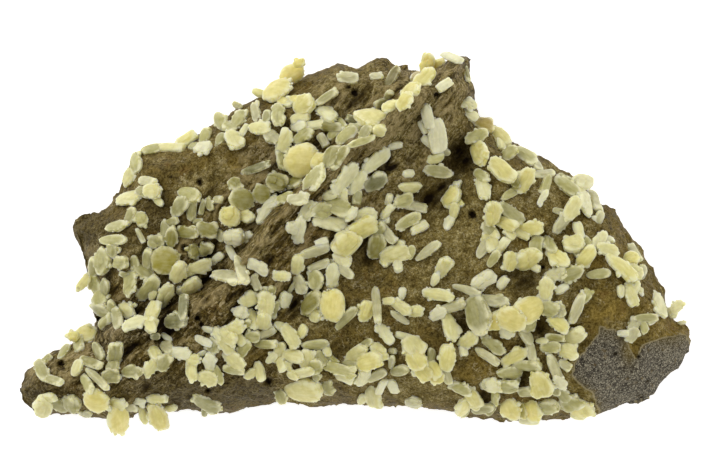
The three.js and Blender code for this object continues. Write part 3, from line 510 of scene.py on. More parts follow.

# %% [markdown]
# ## The crystals
#
# Each crystal was measured: the place of its middle, the way it points, its length and its
# width. A letter gives its tone, from white W through cream C, green G and dull D to yellow Y, and
# two letters give one between, such as DG for dull green. O is ochre, and only comes second. The
# marks are o for a rosette, ^ for one that stands up from its neighbours, and p for one that points
# out past the edge.

# %% The list of crystals
# x y direction length width tone, in millimetres and degrees, region by region.
CRYSTALS = {
    "tail": """
        7.9 20.2 -60 4.8 2.6 G / 10.4 18.2 -15 3.6 1.7 G / 8.8 22.3 45 2.2 1.2 G /
        12.3 23.8 60 3.4 1.6 CG / 15.2 20.7 70 3.6 1.9 C / 18 21.8 -20 4.5 1.9 D /
        19.4 24.1 -60 4.2 1.9 G / 19.3 18.7 -42 5.2 1.6 WG / 23 23.5 80 4.5 3 G /
        22.4 20.8 80 3.4 2.4 G / 22 19.2 5 3.6 3 G / 26.3 20 5 4.6 2.2 G / 17.3 17.6 -55 3.6 1.8 CG /
        19.2 14.2 0 5.2 4.8 Yo^ / 23.4 10.3 -80 6.2 4.5 Yo / 23.2 13.5 -20 3.6 2.2 C /
        25.7 12.8 -10 2.4 1.6 WG / 16.8 11.4 15 2.4 1.6 WG / 14.1 13.5 -20 3.6 3.2 G /
        8.2 12.8 70 4.4 3.6 C / 11.5 13.2 -25 4.4 2.4 G / 9.2 14.6 10 3 1.8 C
    """,
    "lower front, left of middle": """
        31.2 14.6 0 3.8 1.9 C / 31.3 11 -70 5.6 3.8 Y / 33.9 12.6 20 2.6 1.5 C /
        28.3 11.3 -80 3.8 1.8 C / 27.7 13.9 15 2.4 1.3 W / 41.3 13.6 -28 6 2.8 G / 40.8 12 80 2.4 1.5 G /
        51.9 20.1 -75 3.5 2 C / 50.1 19.6 40 3 1.7 C / 56 15.2 -70 3.8 2.2 G / 41.6 18.8 -20 4.2 2.9 C /
        43.7 19.4 -70 4.2 1.6 CG / 42 22 85 3.6 2.2 W / 40.4 23.7 25 2.2 1.1 W /
        38.3 20.5 -87 4.4 2.4 C / 38.6 22.4 10 2.8 2.4 C / 36 23.8 -10 4.6 2.5 W /
        33.3 24.8 -30 2.8 2.2 WG / 33.2 26.9 -40 2.6 1.2 W / 31 27.1 0 1.6 1.4 DG /
        32.8 21.8 60 3.6 2.6 G / 31 23.7 -60 3 2.4 C / 30.3 21 55 4.2 2.4 C / 46.8 22.5 -45 5.4 2.9 C /
        46.7 20.5 -8 3.8 1.6 CG / 45.2 25.6 -60 4.6 2.8 C / 48.7 24.6 60 3.8 2.2 CG /
        42.6 25.2 -70 3.2 2.4 G / 40.8 26.2 -22 3.8 1.8 W / 54.4 22.9 45 3 1.8 WC / 55.9 24 80 4 2.4 C /
        56.2 21.6 -70 2.6 1.6 C / 57.6 21.2 -60 2.4 1.3 C / 53.2 25.6 0 4 1.8 G
    """,
    "left shelf": """
        22.4 46.4 5 6 2.1 CG / 22.3 44.3 80 2.6 2.2 G / 20.2 42.2 -75 4.6 3.2 CG / 24 41.9 0 2.9 2.6 CG /
        18.3 40.8 85 3.6 1.8 G / 18.4 37.9 -65 4.6 2.2 CG / 16.2 37.7 50 3.6 1.9 Cp /
        20.7 36.8 85 3.2 1.8 G / 19.9 34.7 -80 3.2 2.6 CG / 20.2 32 -10 4.2 2.6 G / 22 33 80 2.2 1.6 G /
        20.8 29.9 40 3.2 2 CG / 23.3 30.6 -70 4.2 2 G / 25.2 32.3 -50 3.4 2.4 C / 26.4 33 40 1.6 0.9 C /
        26.7 29.8 20 4.8 2.2 WC^ / 29.9 29.6 -60 3.6 2 C / 16.6 27.2 5 4.6 3 CY / 14.2 27 0 2.4 2.2 CY /
        15.4 25.2 -80 3 2 CG / 26.8 41.7 -85 3.4 1.8 G / 25.8 37.8 80 5 2.3 CG / 25 39.3 -20 2.4 1.2 G /
        28.6 40 -30 5 2.4 G / 29.4 42.6 85 3.6 2 G / 29.5 36.7 45 6 3 CG / 30.4 35.5 80 2.6 1.8 C^ /
        32.9 35.2 62 5 2.8 C^ / 30.4 31.8 75 4.6 2.6 C^ / 30.3 29.4 60 3 1.8 C / 22.9 49.1 8 4.4 2 CG /
        25.7 50.9 65 4.4 1.8 G / 28.1 50.6 -60 2.9 2.6 CG / 26.7 50.4 0 1.4 1 CG /
        27.9 47.3 -63 2.8 1.1 WG / 25.5 54.8 5 5.4 2.6 C / 28.6 56 -15 3.4 2.2 G /
        29.3 58.2 -10 3.2 1.9 WG / 30.3 56.2 0 3.4 3 C^ / 31.4 54.3 -45 2.8 1.6 C /
        26.9 61.9 -75 4.2 2.3 CG / 25.4 59 60 3.4 2.3 C / 30.1 64.7 15 4.4 1.9 CG
    """,
    "upper shelf": """
        33.8 65 0 5 1.9 C / 36.9 66.6 35 4.4 2.1 CY / 40.8 67.2 75 3 2.1 CG / 40.4 64.9 -5 3.4 2.4 W /
        38.7 65.3 0 2 1.3 G / 46.6 66.6 -60 4.2 3 C^ / 44 66.6 70 2.6 1.8 G / 54.3 67.1 -40 3.6 2.6 WG /
        56.8 65.9 65 5.4 2.6 C / 56.4 62.6 -80 4 2.2 G / 51.1 60.8 18 5.4 1.6 DG /
        37.8 55.5 -20 4.4 3 CG / 35.9 53.1 48 4.4 2.5 G / 38.3 52.7 85 4.2 2 G / 40.4 53 75 2.8 1.2 G /
        41.8 53.6 -70 2.7 1.5 G / 43.5 54.5 0 1.5 1.5 WG / 46.9 57.5 -35 2.8 2.2 D /
        48.3 54.6 0 5 4.6 Do / 52.3 55.7 0 3.8 4 Do / 55.5 58 -20 4.4 3.8 D / 59.2 58 0 3 2.4 D /
        53.4 52.5 58 6.6 2.2 W^ / 46 51.1 0 4.2 4.2 CY^ / 49 51.2 -10 3.4 2.4 C / 46.8 47 0 3.8 3.4 W^ /
        44.1 47.3 -75 2.6 1.6 WG / 49.1 47.1 25 2.8 1.7 W / 46.2 43.9 -62 3.6 1.6 W /
        34.3 50.1 20 2.6 1.8 G / 33 48.1 -80 4.4 2 G / 37.3 47.9 0 4.6 2.4 D / 41.2 48.4 -20 4.4 3 D /
        39.5 50.1 0 1.8 1.2 G
    """,
    "middle left": """
        33 42.3 0 6.2 5.6 YDo / 31.2 46.2 0 3.2 2.6 G / 34.2 46.9 85 4 2.6 D / 38.6 44.2 -75 3 2.2 D /
        40.9 44.5 40 3.4 2.4 G / 39 40.7 25 7.2 2.3 C^ / 35.6 39.9 60 4.2 3.2 C^ /
        43.5 42.9 40 2.5 1.7 W / 38.1 37.1 30 4.4 2.8 C / 36.3 36 -30 2.4 1.8 WG /
        36.7 33 88 4.6 1.9 DG / 35.2 30.2 5 4.6 3.2 DG / 45.8 39.1 -10 7.4 2.2 WG /
        48.3 40.5 -70 5 1.9 WG / 51.6 41.1 -35 4.6 2.2 W / 51.1 37.9 -65 3.2 1.8 WG /
        52.2 36.5 10 2.8 1.1 WG / 56.2 39.2 0 3.4 2.2 C / 49.8 34.5 15 3.7 2.7 C / 48.2 32 0 2.8 2.6 W /
        54.1 36 60 2.6 1.8 G / 53.2 33.6 85 5 3.6 C^ / 52.8 30.4 80 3.6 3 C / 50.6 30.8 -60 4.2 2.4 C /
        55 32.6 75 3.2 1.2 G / 57 34.4 75 3.2 2.2 W / 58.4 36.9 55 3 1 WG / 41.6 28.5 -15 2 1.2 W /
        43.7 27.7 -60 3 2.2 WC / 45.6 27.2 -40 4 2.8 C / 47.8 26.8 -50 3.2 2 C / 47 28.8 25 3.8 2.8 C /
        49.2 29.6 30 2.4 1.6 D / 50.5 27.3 0 3.2 2.2 CG / 53.3 27.8 28 3.6 1.7 WG /
        56.6 28.9 -30 4 2 WC
    """,
    "top edge, left of the peak": """
        43.9 70.4 -60 3.8 2.4 CG / 47.7 70.7 65 4 2.5 CG / 46 69.2 -30 3 2.2 CG / 48.6 68.2 60 3 1.3 WC /
        47.2 73.6 -25 2 1.4 WG / 51 72.1 -72 3.9 1.9 WG / 51.8 68.8 -8 4.2 2.4 C /
        53.3 71.1 85 2.4 1.6 G / 55.5 71.6 -87 5 2.6 CG / 51.8 76 -25 3.4 1.8 Cp / 55.3 76.6 0 5 4.6 Yo /
        58.3 79.8 35 5.6 4 Yo / 59.7 82 20 2.4 1.8 Y / 56.9 74.2 -20 3.6 1.8 Y /
        58.9 74.3 -60 2.4 2.2 Y
    """,
    "lower front, middle": """
        58 27.2 -55 5.5 2.6 C^ / 58.6 23.2 -10 4.4 2.8 C / 61.4 22.4 85 4.4 2.9 C /
        62.9 21.2 0 3.4 3 CG / 60.3 19.8 15 5 1.8 C / 58.6 19.4 0 2 1.8 C / 63 25.5 5 5.6 2 CG /
        65.3 24.5 -75 3 1.8 C / 64 22.8 -50 3.2 2.4 G / 66.4 22.5 -40 2.6 1.6 CG /
        67.4 20.7 -18 7.6 2.3 CG / 68.9 18.9 -20 3.4 1.8 WC / 63.3 19.1 0 1.6 1.4 G /
        60.6 16.5 0 7.4 4.6 CY / 65.3 17 -70 3.2 2.4 G / 71.2 23.5 35 4.8 2.8 C / 73 25.6 25 3.4 1.6 G /
        73.9 22.2 15 4.8 3.6 CY^ / 75.7 24.2 -55 4 2.6 C / 70 21.6 -10 3 1.7 G /
        72.6 18.9 70 3.8 2.5 WC / 75.3 19.3 30 4.2 1.9 WG / 74.6 15.3 -80 4.8 3 C /
        72.7 14.6 60 3 1.8 C / 76.2 16.9 65 3.4 1.4 W / 78.5 17.2 -65 2.6 1.7 W /
        78.5 24.2 0 1.4 1.3 WG / 78.3 22 85 2.8 1.5 WG / 79.9 20.3 12 3.8 2.1 G /
        82.7 13.8 20 2.9 2.5 WG / 82.6 25.2 -60 4.6 4 C^ / 83.2 22.6 -60 4.6 4.2 CY^ /
        84.6 20.2 -40 4.2 3.2 CY / 86.6 19.2 -60 3 2 CY
    """,
    "middle": """
        63 44.2 18 6.2 2 WG / 64.3 46 20 2.4 1.6 W / 59.5 41.6 80 4 2.5 C / 60.1 37.6 -65 4 2.3 WG /
        63 38.7 -80 4.4 2.7 CG / 63.8 41.3 18 4.2 1.8 WG / 66.5 39.3 88 5 2.7 WC /
        68.4 40.7 -38 5.8 2 WG / 66.4 33.4 88 6.8 5.2 Yo^ / 62.3 33.8 40 5 3.4 D / 63.2 31.4 60 3 2.2 C /
        69.2 30.8 47 6 2 G / 73.2 32.2 75 4.4 3 CY / 75.3 33.4 -85 6.4 1.8 WG / 77.8 34.2 5 2.4 1.6 C /
        80.2 33.1 -30 4.6 2.4 C / 83.1 32.2 10 3 2.5 C / 79.9 30.9 -33 4.4 1.5 WG /
        80.4 35.7 85 2.6 1.6 W / 77 27.6 -50 5 2.3 WC / 80.6 27.2 -15 2.8 1.6 WC /
        60.5 28.1 60 2.8 1.9 C / 69.2 45.8 50 5.6 4.4 CY^ / 68.4 42.8 -30 4 3 WC /
        75.3 45.3 80 5.2 3.6 D / 77.3 48 -52 5.6 2 WG / 79 43.6 15 6 3.6 C / 80 45.3 80 2 1.8 C /
        82.2 43.9 80 3 1.8 CG / 79.6 41.4 -80 2.8 2 W / 76.8 42.2 -70 2.6 1.6 C / 85.6 44.2 40 6 2 WG
    """,
    "ridge": """
        60.5 62.2 0 7.4 7 Yo^ / 63.9 62 60 3.4 2.8 Y / 62.8 58.5 40 5.4 3 CG / 59.6 54.5 5 4.2 2.2 WG /
        57 54.7 -5 3.4 2.2 CG / 66.7 62.7 75 4.6 3.4 D / 68.4 63.4 60 4 1.8 D / 69 58.7 52 7.6 2.6 WC^ /
        71.3 57.9 70 5.2 2.6 WC / 68.2 55 80 4.2 2.6 WC / 71.4 55 85 2.6 1.9 G /
        75.2 62.2 37 6.8 2.6 WC^ / 75 58 28 5.2 2.8 DG / 79 65.2 10 2.6 1.3 W / 81.6 59.7 0 1.8 1.6 W /
        81.9 57 -5 4.2 2.1 C / 80.7 54.2 20 4 2.8 CG / 83.1 53.1 -10 4 2 WG / 77.8 54.5 75 2 1.6 W /
        77.4 52 55 3.2 1.8 WC / 76.9 50.4 0 1.8 1.4 W / 81.6 50.2 28 5.6 2.3 CG / 83.8 48.9 30 3.2 2 WC /
        73 51.2 10 4.6 3.4 WC / 72 48.4 30 7.4 3.6 CY / 75.6 48 60 3.6 2.4 G / 61.3 52 55 5 2.6 WC /
        59.9 48.3 75 5.2 2.4 W / 58.6 48.9 0 2.6 2.2 W / 67.2 53.2 -20 6.2 3.6 CG /
        66 49.8 -12 7.2 2.6 WC / 64.2 52.4 0 4 3.2 CG / 69.9 51.8 0 2.6 2.6 W / 65.9 55.4 20 3 1.8 WC
    """,
    "behind the ridge and the peak": """
        60.8 73.4 40 4.4 3.4 CY / 60 70.8 15 3.4 2 C / 59.7 69.1 15 3.2 1.8 W /
        65.4 71.7 -35 4.2 2.5 WC / 65.3 75 32 4.4 1.5 G / 69.6 78.9 -3 4.2 2.2 WG /
        75.3 79.3 -20 2.6 1.5 WG / 78.3 78.8 60 5.6 1.8 GO / 70.6 70.4 -25 2.6 1.7 DG /
        74.6 70.6 -35 6 4 CY^ / 75.8 68.2 0 2.6 2 C / 68.2 69.8 -50 3 1.6 CG / 62.3 69.3 12 5 1.9 WC /
        60.6 67.3 40 4.4 2.2 CG / 66 69.2 -10 4.6 2 D / 66.8 67.8 45 3.4 2 CG /
        64.6 66.4 -60 2.6 1.8 WG / 69.4 67.2 38 5.2 2.6 CG / 70.9 68.1 50 3.4 2.4 CG /
        73 67.6 60 3.4 2 G / 72.2 66 20 5.2 1.5 CG / 76.2 73.9 25 2.6 1.6 G / 77.7 75.3 60 2 1.6 G /
        78.5 72.9 -10 3.8 2.8 CY / 80.8 73.9 50 4 2.4 CY / 82 75.9 25 4 2.6 CY /
        84.6 78.2 50 6.4 2.4 CY / 83.9 79.2 0 2.4 2 YO / 85.6 81.7 80 4.4 3 Y^ / 87 81.7 20 4 1.6 Y^ /
        85.4 71.2 -80 5.2 2.4 W / 87.4 67.2 -82 7 3.8 W / 88.8 64.2 -20 2.8 1.4 WG /
        84.6 69 -60 2.6 1.6 W / 85.7 66 -40 3 1.8 W / 90.4 83 -25 4 1.6 Wp / 93.5 79.8 -80 2.8 1 Gp /
        88.9 77.3 35 3 1.8 W / 93.6 73.9 -15 3.6 2.2 WC^ / 94.2 71.5 -28 3.4 1.9 WC /
        96.8 69.6 -15 4.4 2.6 YO / 95.4 67.2 20 5 2.4 CG / 100.2 67.3 -50 4.8 2.8 CY /
        100.3 65.6 -80 2.4 1.6 C
    """,
    "right field, upper": """
        87 62.7 15 3.6 1.8 C / 87.5 60.2 -8 5.6 2.6 G / 95.9 63.9 -65 4.6 3.2 CY /
        101.7 63.6 42 4 2.2 CG / 105.2 63.3 -42 5.6 2.4 CG / 107.6 61.5 -70 2.6 1.6 WG /
        100.3 60.4 -50 6 3.6 CY^ / 105 58.3 62 5.6 3.2 CY / 102.8 58.2 -60 3.2 1.8 D /
        108.8 59.7 8 4 1.4 WG / 96.3 59.4 -30 3 2.2 CG / 96.5 56.9 -75 5 2.7 WC /
        102.1 55.7 30 4.4 1.9 CG / 109.2 57.4 70 3.6 1.9 CG / 108.6 54.9 58 3.6 1.5 W /
        91.3 57.2 70 2 1.5 W / 90.3 55 45 4.6 2.8 CY / 92 54 -50 1.8 1.2 CY / 90.9 52.2 80 3.6 2 C /
        89.8 49.9 58 3.2 1.8 W / 98.6 51.6 78 5.2 3.2 CY^ / 102.2 51.7 -42 6.2 2.6 G /
        101.2 49.6 -30 4.4 2.6 CY / 97.7 48.6 -60 3.4 2.4 G / 98.4 47 30 2.6 2 C /
        105.8 48.6 10 5.6 3 CY / 102 47.7 -60 2.8 1.8 C / 104.3 47.6 -20 3 1.8 C /
        112.4 49.9 52 5.2 2.2 WG / 111.7 52.2 -15 2.4 1.2 WG / 114.5 52.7 62 5 2.9 C^ /
        113.6 57.2 -35 5.8 2.6 CG / 112.8 59 -60 1.8 1.3 G / 116.8 58.1 -25 3.8 3 WC /
        115.8 56.4 -50 2.6 1.8 C / 117.3 53.8 -87 5.4 2.2 WC / 119.3 54.3 -72 4 1.8 WG /
        120 50.7 68 3.2 1.7 WG / 115.9 48.3 -75 3.2 2 WC
    """,
    "right field, middle": """
        88.6 40.9 55 4.6 2.8 C / 87 38.6 60 2.8 1.9 WC / 87.6 35.5 -10 6.4 2.5 C /
        87.6 31.7 25 3.6 2.4 W / 90.3 33 20 5.2 1.9 WG / 92 33.7 -60 2.6 1.7 WG /
        89.9 29.2 -80 5.8 2.8 C / 96.7 38.4 30 5.2 3.2 W / 100.5 37.9 50 2.6 1.9 W /
        93.2 36.5 -17 5.8 1.7 WG / 96.7 44.8 62 4.6 2 WG / 98.2 46.2 -65 4.2 2.8 C /
        100.3 45.2 52 3.4 1.9 WC / 98.7 42.7 55 3.8 2 CG / 101.9 42.2 80 4 2.6 CY^ /
        105.6 42.6 40 5.2 3.6 CY / 107.2 44.9 80 4.6 2.6 CG / 106.4 41.3 -30 3.2 1.6 WC /
        111.5 43 -35 5.2 2.8 CY / 110 45.4 -65 3.8 2.2 CG / 111.2 39.5 15 4.6 2.6 WC /
        114 39.7 20 5.4 3 CG / 112.3 36.6 30 2.6 1.7 W / 109.2 36.6 85 5 2.9 C^ /
        111.8 32.5 -60 3.4 2.4 WG / 111.6 29.8 -35 5.2 2.8 CY / 105.9 32.4 25 6.8 5.2 Yo /
        102.2 30.6 -20 6.2 4.8 Yo^ / 98.8 30.3 30 4.6 3.2 Y / 95.6 31.6 -68 7.4 4.6 G /
        96.4 29.5 -75 3.2 2.2 D / 98.6 34.3 -10 6 2.4 WG / 101.2 28 -30 2.8 2 W /
        105.2 27.2 -50 3.6 2 WG / 111 26.9 -5 3.6 1.6 D / 114.7 27.2 15 4.6 3 C /
        109.7 32.8 -25 4.4 3.2 CG / 105.8 29.4 40 3.2 2.2 CG / 108.4 26.2 0 2.6 1.4 C /
        114.7 45.7 15 4.2 3.2 C^ / 115.6 44.2 -50 3.2 2.2 C / 117.2 43 48 5.2 3 CY /
        117.6 45.6 -60 3.2 2 CG / 120 46.3 60 4 2.3 WC / 121.9 46.5 20 1.6 1.2 W /
        121.6 44.4 -20 4.6 2.4 C / 119.8 39.6 8 4.8 2.1 CG / 124.4 40.9 -38 7.6 2.6 CY^ /
        126.2 42.6 20 3.6 2.8 CY / 127.2 43.8 -62 3.4 1.9 WG / 127 39.9 -35 3.8 2.8 C /
        128.7 39.8 68 3 1.7 WG / 124.3 36.1 85 2.5 1.6 WC / 126.3 35.6 -75 5 2.4 C /
        127.2 36.8 60 2.6 1.6 WC / 128 36.4 -20 1.8 1.2 WC / 115.4 32.8 68 5.8 2 WG /
        117 35 45 3.4 2.2 CG / 132.2 33.5 -80 4.6 2.3 WC / 135.8 32.9 40 3.4 2.2 WCp /
        134.8 31.7 -65 2.4 1.4 WCp / 137 29.7 0 1.8 0.7 Wp / 129.3 30.8 0 5 1.9 G /
        126.9 29.3 60 3.8 2.2 WG / 129 29 -75 2.8 1.8 CG / 126.6 27.4 60 3.4 2.4 WG /
        124.8 27.7 0 2.2 1.4 W / 130.7 30.3 40 2 1.4 WG
    """,
    "right field, lower": """
        89.4 22.9 82 5.2 3.4 CY^ / 86.2 23.3 80 3 1.6 G / 86.8 20.6 -55 4 2.6 CY / 87.4 19 -20 3 2.6 CY /
        89.4 19.1 -75 3.4 1.8 WG / 93.6 26.3 35 4.2 3 C / 92.6 24.7 -80 2.6 1.7 WC /
        98.7 25.3 -35 5.2 2.4 CG / 97.4 23.2 -35 5 1.8 WG / 102.8 23 28 5.8 2.6 CY /
        106.2 24.2 -80 4.4 2 WG / 105.2 21.3 0 5.2 1.9 CG / 107.2 21 85 3.6 1.4 G / 102 19.9 5 5 2.4 CG /
        103.6 18.2 80 1.8 1 G / 111 20.6 -68 5.6 2 WG / 111.9 18 -45 3.2 2.2 W^ /
        113 21.4 -35 2.6 1.8 WG / 113.4 24.3 -10 4 3.2 C / 110 25 5 4.2 2.4 CG /
        108.2 17.6 -65 5.4 4 CY / 110.7 16.8 -60 3.6 2 G / 105.4 16 10 2.6 1.8 CG /
        92.2 16.7 -25 4.2 2.2 CG / 94.4 15.2 -60 5.2 2.8 CY / 93 13.2 75 4.6 2.8 CY /
        93.2 12 80 2.8 1.8 CG / 95.2 13.8 0 2.6 2.4 C / 96.7 12.4 15 4.8 1.9 D / 98.4 12.7 65 3.6 1.8 D /
        99.1 15 80 3 1.7 CG / 100 17.2 -4 7.6 2.4 CG / 98 17.4 0 3.8 2.6 WC / 102.2 12.8 -62 5.6 3.2 Y /
        106.6 12.6 -75 5.8 3 Y / 104.4 12.6 -75 4.4 2 YD / 106 10.1 5 4 1.9 WC /
        109.7 12.9 15 3.8 2.8 CG / 112.8 15.2 -45 3.4 2.2 CG / 114.2 13.8 -25 3.8 3 CG /
        113 12.9 -30 2.6 1.4 CG / 116.2 12.7 -40 4.6 3.6 CY / 116 11.3 0 3.2 2.2 C / 118.5 11.5 0 1 1 G
    """,
}


def read_crystals():
    """The list as rows of x, y, direction, length, width, tone and marks."""
    rows = []
    for region in CRYSTALS.values():
        for row in region.split("/"):
            x, y, turn, length, width, tone = row.split()
            letters = tone.rstrip("o^p")
            marks = tone[len(letters):]
            rows.append((float(x), float(y), float(turn), float(length), float(width), letters, marks))
    return rows


crystals = read_crystals()
mean_length = sum(c[3] for c in crystals) / len(crystals)
print(len(crystals), "crystals, mean length", round(mean_length, 2), "mm")

# %% [markdown]
# A pale crust of calcite grains lies on the rock round the feet of the crystals. The distance to the
# nearest crystal gives each vertex of the rock its share.

# %% Crust round the crystals
CRUST_FROM = 0.8  # mm from the middle line of a crystal
CRUST_FADES = 2.4  # mm, in which it fades out

feet = kdtree.KDTree(3 * len(crystals))
for x, y, turn, length, width, _, _ in crystals:
    a = math.radians(turn)
    for k in (-0.4, 0.0, 0.4):
        feet.insert(Vector((x + math.cos(a) * k * length, y + math.sin(a) * k * length, 0.0)), 0)
feet.balance()
near = np.array([feet.find(Vector((px, py, 0.0)))[2] for px, py, _ in spots])
crust = np.clip(1.0 - (near - CRUST_FROM) / CRUST_FADES, 0.0, 1.0) * facing_up
give(rock_mesh, "crust", crust)
print("rock facing up", round(float((facing_up > 0.5).mean()) * 100), "% of its vertices")
print("crust on", round(float((crust > 0.3).mean()) * 100), "% of the rock's vertices")

# %% [markdown]
# Two habits grow side by side here. One is a bar: eight-sided, blunt, a little narrower at its root.
# The other is a tongue: flat, with a round notched end. Each blank comes from the cone operator with
# insets on its caps. It has only a few dozen faces, because it is used hundreds of times. Each copy
# is then shaped on its own.

# %% Two blank crystals
POINTS = 18  # round the outline of a tongue


def bar_blank():
    """A rod of length 1 and diameter 1 along X."""
    bm = bmesh.new()
    bmesh.ops.create_cone(bm, cap_ends=True, segments=8, radius1=0.5, radius2=0.5, depth=1.0)
    rods = [e for e in bm.edges if abs(e.verts[0].co.z - e.verts[1].co.z) > 0.5]
    bmesh.ops.subdivide_edges(bm, edges=rods, cuts=4)
    ends = [f for f in bm.faces if len(f.verts) == 8]
    bmesh.ops.inset_individual(bm, faces=ends, thickness=0.14, depth=0.06)
    bmesh.ops.rotate(bm, verts=bm.verts, cent=(0, 0, 0), matrix=Matrix.Rotation(math.pi / 2, 3, "Y"))
    return bm


def tongue_blank():
    """A disc of diameter 1 and thickness 1 with bevelled rims and a low point on top."""
    bm = bmesh.new()
    bmesh.ops.create_cone(bm, cap_ends=True, segments=POINTS, radius1=0.5, radius2=0.5, depth=0.5)
    caps = [f for f in bm.faces if len(f.verts) == POINTS]
    bmesh.ops.inset_individual(bm, faces=caps, thickness=0.12, depth=0.15)
    top = max(bm.faces, key=lambda f: f.calc_center_median().z)
    bmesh.ops.poke(bm, faces=[top], offset=0.1)
    return bm


blanks = {}
for kind, made in (("bar", bar_blank()), ("tongue", tongue_blank())):
    blanks[kind] = bpy.data.meshes.new(kind + "_blank")
    made.to_mesh(blanks[kind])
    made.free()
    print(kind, "blank", len(blanks[kind].polygons), "faces")

# %% [markdown]
# Shaping a bar: every ring swells or shrinks a little, the section is fluted, and the rim of the
# tip is uneven. The values are drawn from a seeded generator, so they are the same on every run.
# A helper makes one trial of a shape and prints its size.

# %% Shape one bar
def shape_bar(rng, length, width, thick):
    """A new bmesh of one bar along X, its middle at the origin, in metres."""
    bm = bmesh.new()
    bm.from_mesh(blanks["bar"])
    root, tip = rng.uniform(0.62, 0.92), rng.uniform(0.82, 1.02)
    seed = rng.uniform(0, 100)
    bend = rng.uniform(-0.18, 0.18)
    half_step = rng.choice((0.0, math.pi / 8))
    for v in bm.verts:
        along = v.co.x
        radius = math.hypot(v.co.y, v.co.z)
        angle = math.atan2(v.co.z, v.co.y) + half_step
        around = Vector((math.cos(angle), math.sin(angle), 0.0))
        far = min(abs(along) * 2.0, 1.0)
        end = root if along < 0.0 else tip
        grow = end + (1.0 - end) * (1.0 - far**3)
        grow *= 1.0 + 0.08 * noise.noise((along * 5.0, seed, 0.0))
        grow *= 1.0 + 0.2 * noise.noise(around * 1.5 + Vector((seed, 0.0, along * 2.0)))
        step = 0.22 * noise.noise(around * 1.8 + Vector((seed, seed, 0.0))) * far**3
        v.co.x = along * (1.0 + step) * length
        v.co.y = (radius * around.x * 1.06 * grow + bend * (along * along - 0.1)) * width
        v.co.z = radius * around.y * 1.06 * grow * thick
    bmesh.ops.scale(bm, vec=(MM, MM, MM), verts=bm.verts)
    return bm


def try_out(shape):
    """Prints the size of one trial of a shape."""
    trial = shape(random.Random(1), 4.0, 2.0, 1.6)
    spans = np.ptp([v.co for v in trial.verts], axis=0) / MM
    print(shape.__name__, spans.round(2), "mm")
    trial.free()


try_out(shape_bar)

# %% [markdown]
# Shaping a tongue: the round outline becomes a blunt oval, narrower towards the root. Each point of
# the outline is pulled in or out, which notches the rim, and the top is a little uneven.

# %% Shape one tongue
def shape_tongue(rng, length, width, thick, notch=0.05, taper=0.3):
    """A new bmesh of one tongue along X, its middle at the origin, in metres."""
    bm = bmesh.new()
    bm.from_mesh(blanks["tongue"])
    teeth = [1.0 + notch * rng.uniform(-1.0, 1.0) for _ in range(POINTS)]
    blunt = 2.0 / rng.uniform(2.3, 3.2)
    skew = rng.uniform(-0.16, 0.16)
    bend = rng.uniform(-0.2, 0.2)
    seed = rng.uniform(0, 100)
    taper *= rng.uniform(0.3, 1.2)
    for v in bm.verts:
        radius = math.hypot(v.co.x, v.co.y)
        angle = math.atan2(v.co.y, v.co.x)
        c, s = math.cos(angle), math.sin(angle)
        grow = radius * teeth[round(angle * POINTS / math.tau) % POINTS]
        x = math.copysign(abs(c) ** blunt, c) * grow
        y = math.copysign(abs(s) ** blunt, s) * grow
        y *= 1.0 - taper * max(0.0, 0.2 - x) / 0.7
        flute = 1.0 + 0.2 * noise.noise((x * 1.5, y * 4.0, seed))
        v.co.x = (x + skew * y) * length
        v.co.y = (y + bend * (x * x - 0.1)) * width
        v.co.z *= thick * flute * (0.9 + 0.2 * x)
    bmesh.ops.scale(bm, vec=(MM, MM, MM), verts=bm.verts)
    return bm


try_out(shape_tongue)

# %% [markdown]
# A rosette is a round cushion of many small crystals with a toothed rim. A flattened sphere gives
# the cushion, its rim is pulled in and out, and its back is lumpy.

# %% Shape one rosette
ROSETTE_SEGMENTS = (26, 9)  # round it and over it


def shape_rosette(rng, length, width, thick):
    """A new bmesh of one rosette, its middle at the origin, in metres."""
    bm = bmesh.new()
    columns, rows = ROSETTE_SEGMENTS
    bmesh.ops.create_uvsphere(bm, u_segments=columns, v_segments=rows, radius=0.5)
    seed = rng.uniform(0, 100)
    for v in bm.verts:
        around = Vector((v.co.x, v.co.y, 0.0)) * 2.0
        tooth = 0.1 * noise.noise(around * 4.5 + Vector((seed, 0.0, 0.0))) * around.length_squared
        lobe = 0.2 * noise.noise(around * 1.2 + Vector((0.0, 0.0, seed)))
        lump = 0.07 * noise.noise(v.co * 5.0 + Vector((0.0, seed, 0.0)))
        grow = 1.0 + tooth + lobe + lump
        v.co.x *= grow * length
        v.co.y *= grow * width
        v.co.z *= (1.0 + lump * 2.0) * thick
    bmesh.ops.scale(bm, vec=(MM, MM, MM), verts=bm.verts)
    return bm


try_out(shape_rosette)

# %% [markdown]
# Calcite grows in steps, and each step ends in a tiny rhombohedron, a cube pushed out of square.
# Such chips barely stand out all round the rim of a crystal, and they make its fine notches. The
# broadest crystals are fans of several tongues that overlap like petals.

# %% Bodies that make up one crystal
BAR_THICK = 0.8  # thickness off the rock, as a share of the width
TONGUE_THICK = 0.7
STANDING = 0.4  # a crystal that looks short from above stands up, and is so much thicker
CUSHION = 0.56  # thickness of a rosette
BROAD = 2.2  # mm; a crystal broader than this is a fan
BAR_SHARE = 0.45  # of the narrow crystals are bars
CHIP_SIZES = (0.22, 0.42)  # mm
BUD_SIZES = (1.5, 2.5)  # mm
PETALS = 2  # that lie on the main tongue of a fan
FAN_BUDS = 4
ROSETTE_BUDS = 3
SQUARISH = 2.7  # power of the oval that the chips follow; 2 is an ellipse


def rhomb_chip(rng, size):
    """A small rhombohedron, turned at random, in metres."""
    bm = bmesh.new()
    bmesh.ops.create_cube(bm, size=size * MM)
    bmesh.ops.transform(bm, matrix=Matrix.Shear("XY", 4, (0.45, 0.3)), verts=bm.verts)
    turn = Euler((rng.uniform(-0.6, 0.6), rng.uniform(-0.6, 0.6), rng.uniform(0, math.tau)), "XYZ")
    bmesh.ops.rotate(bm, verts=bm.verts, cent=(0, 0, 0), matrix=turn.to_matrix())
    return bm


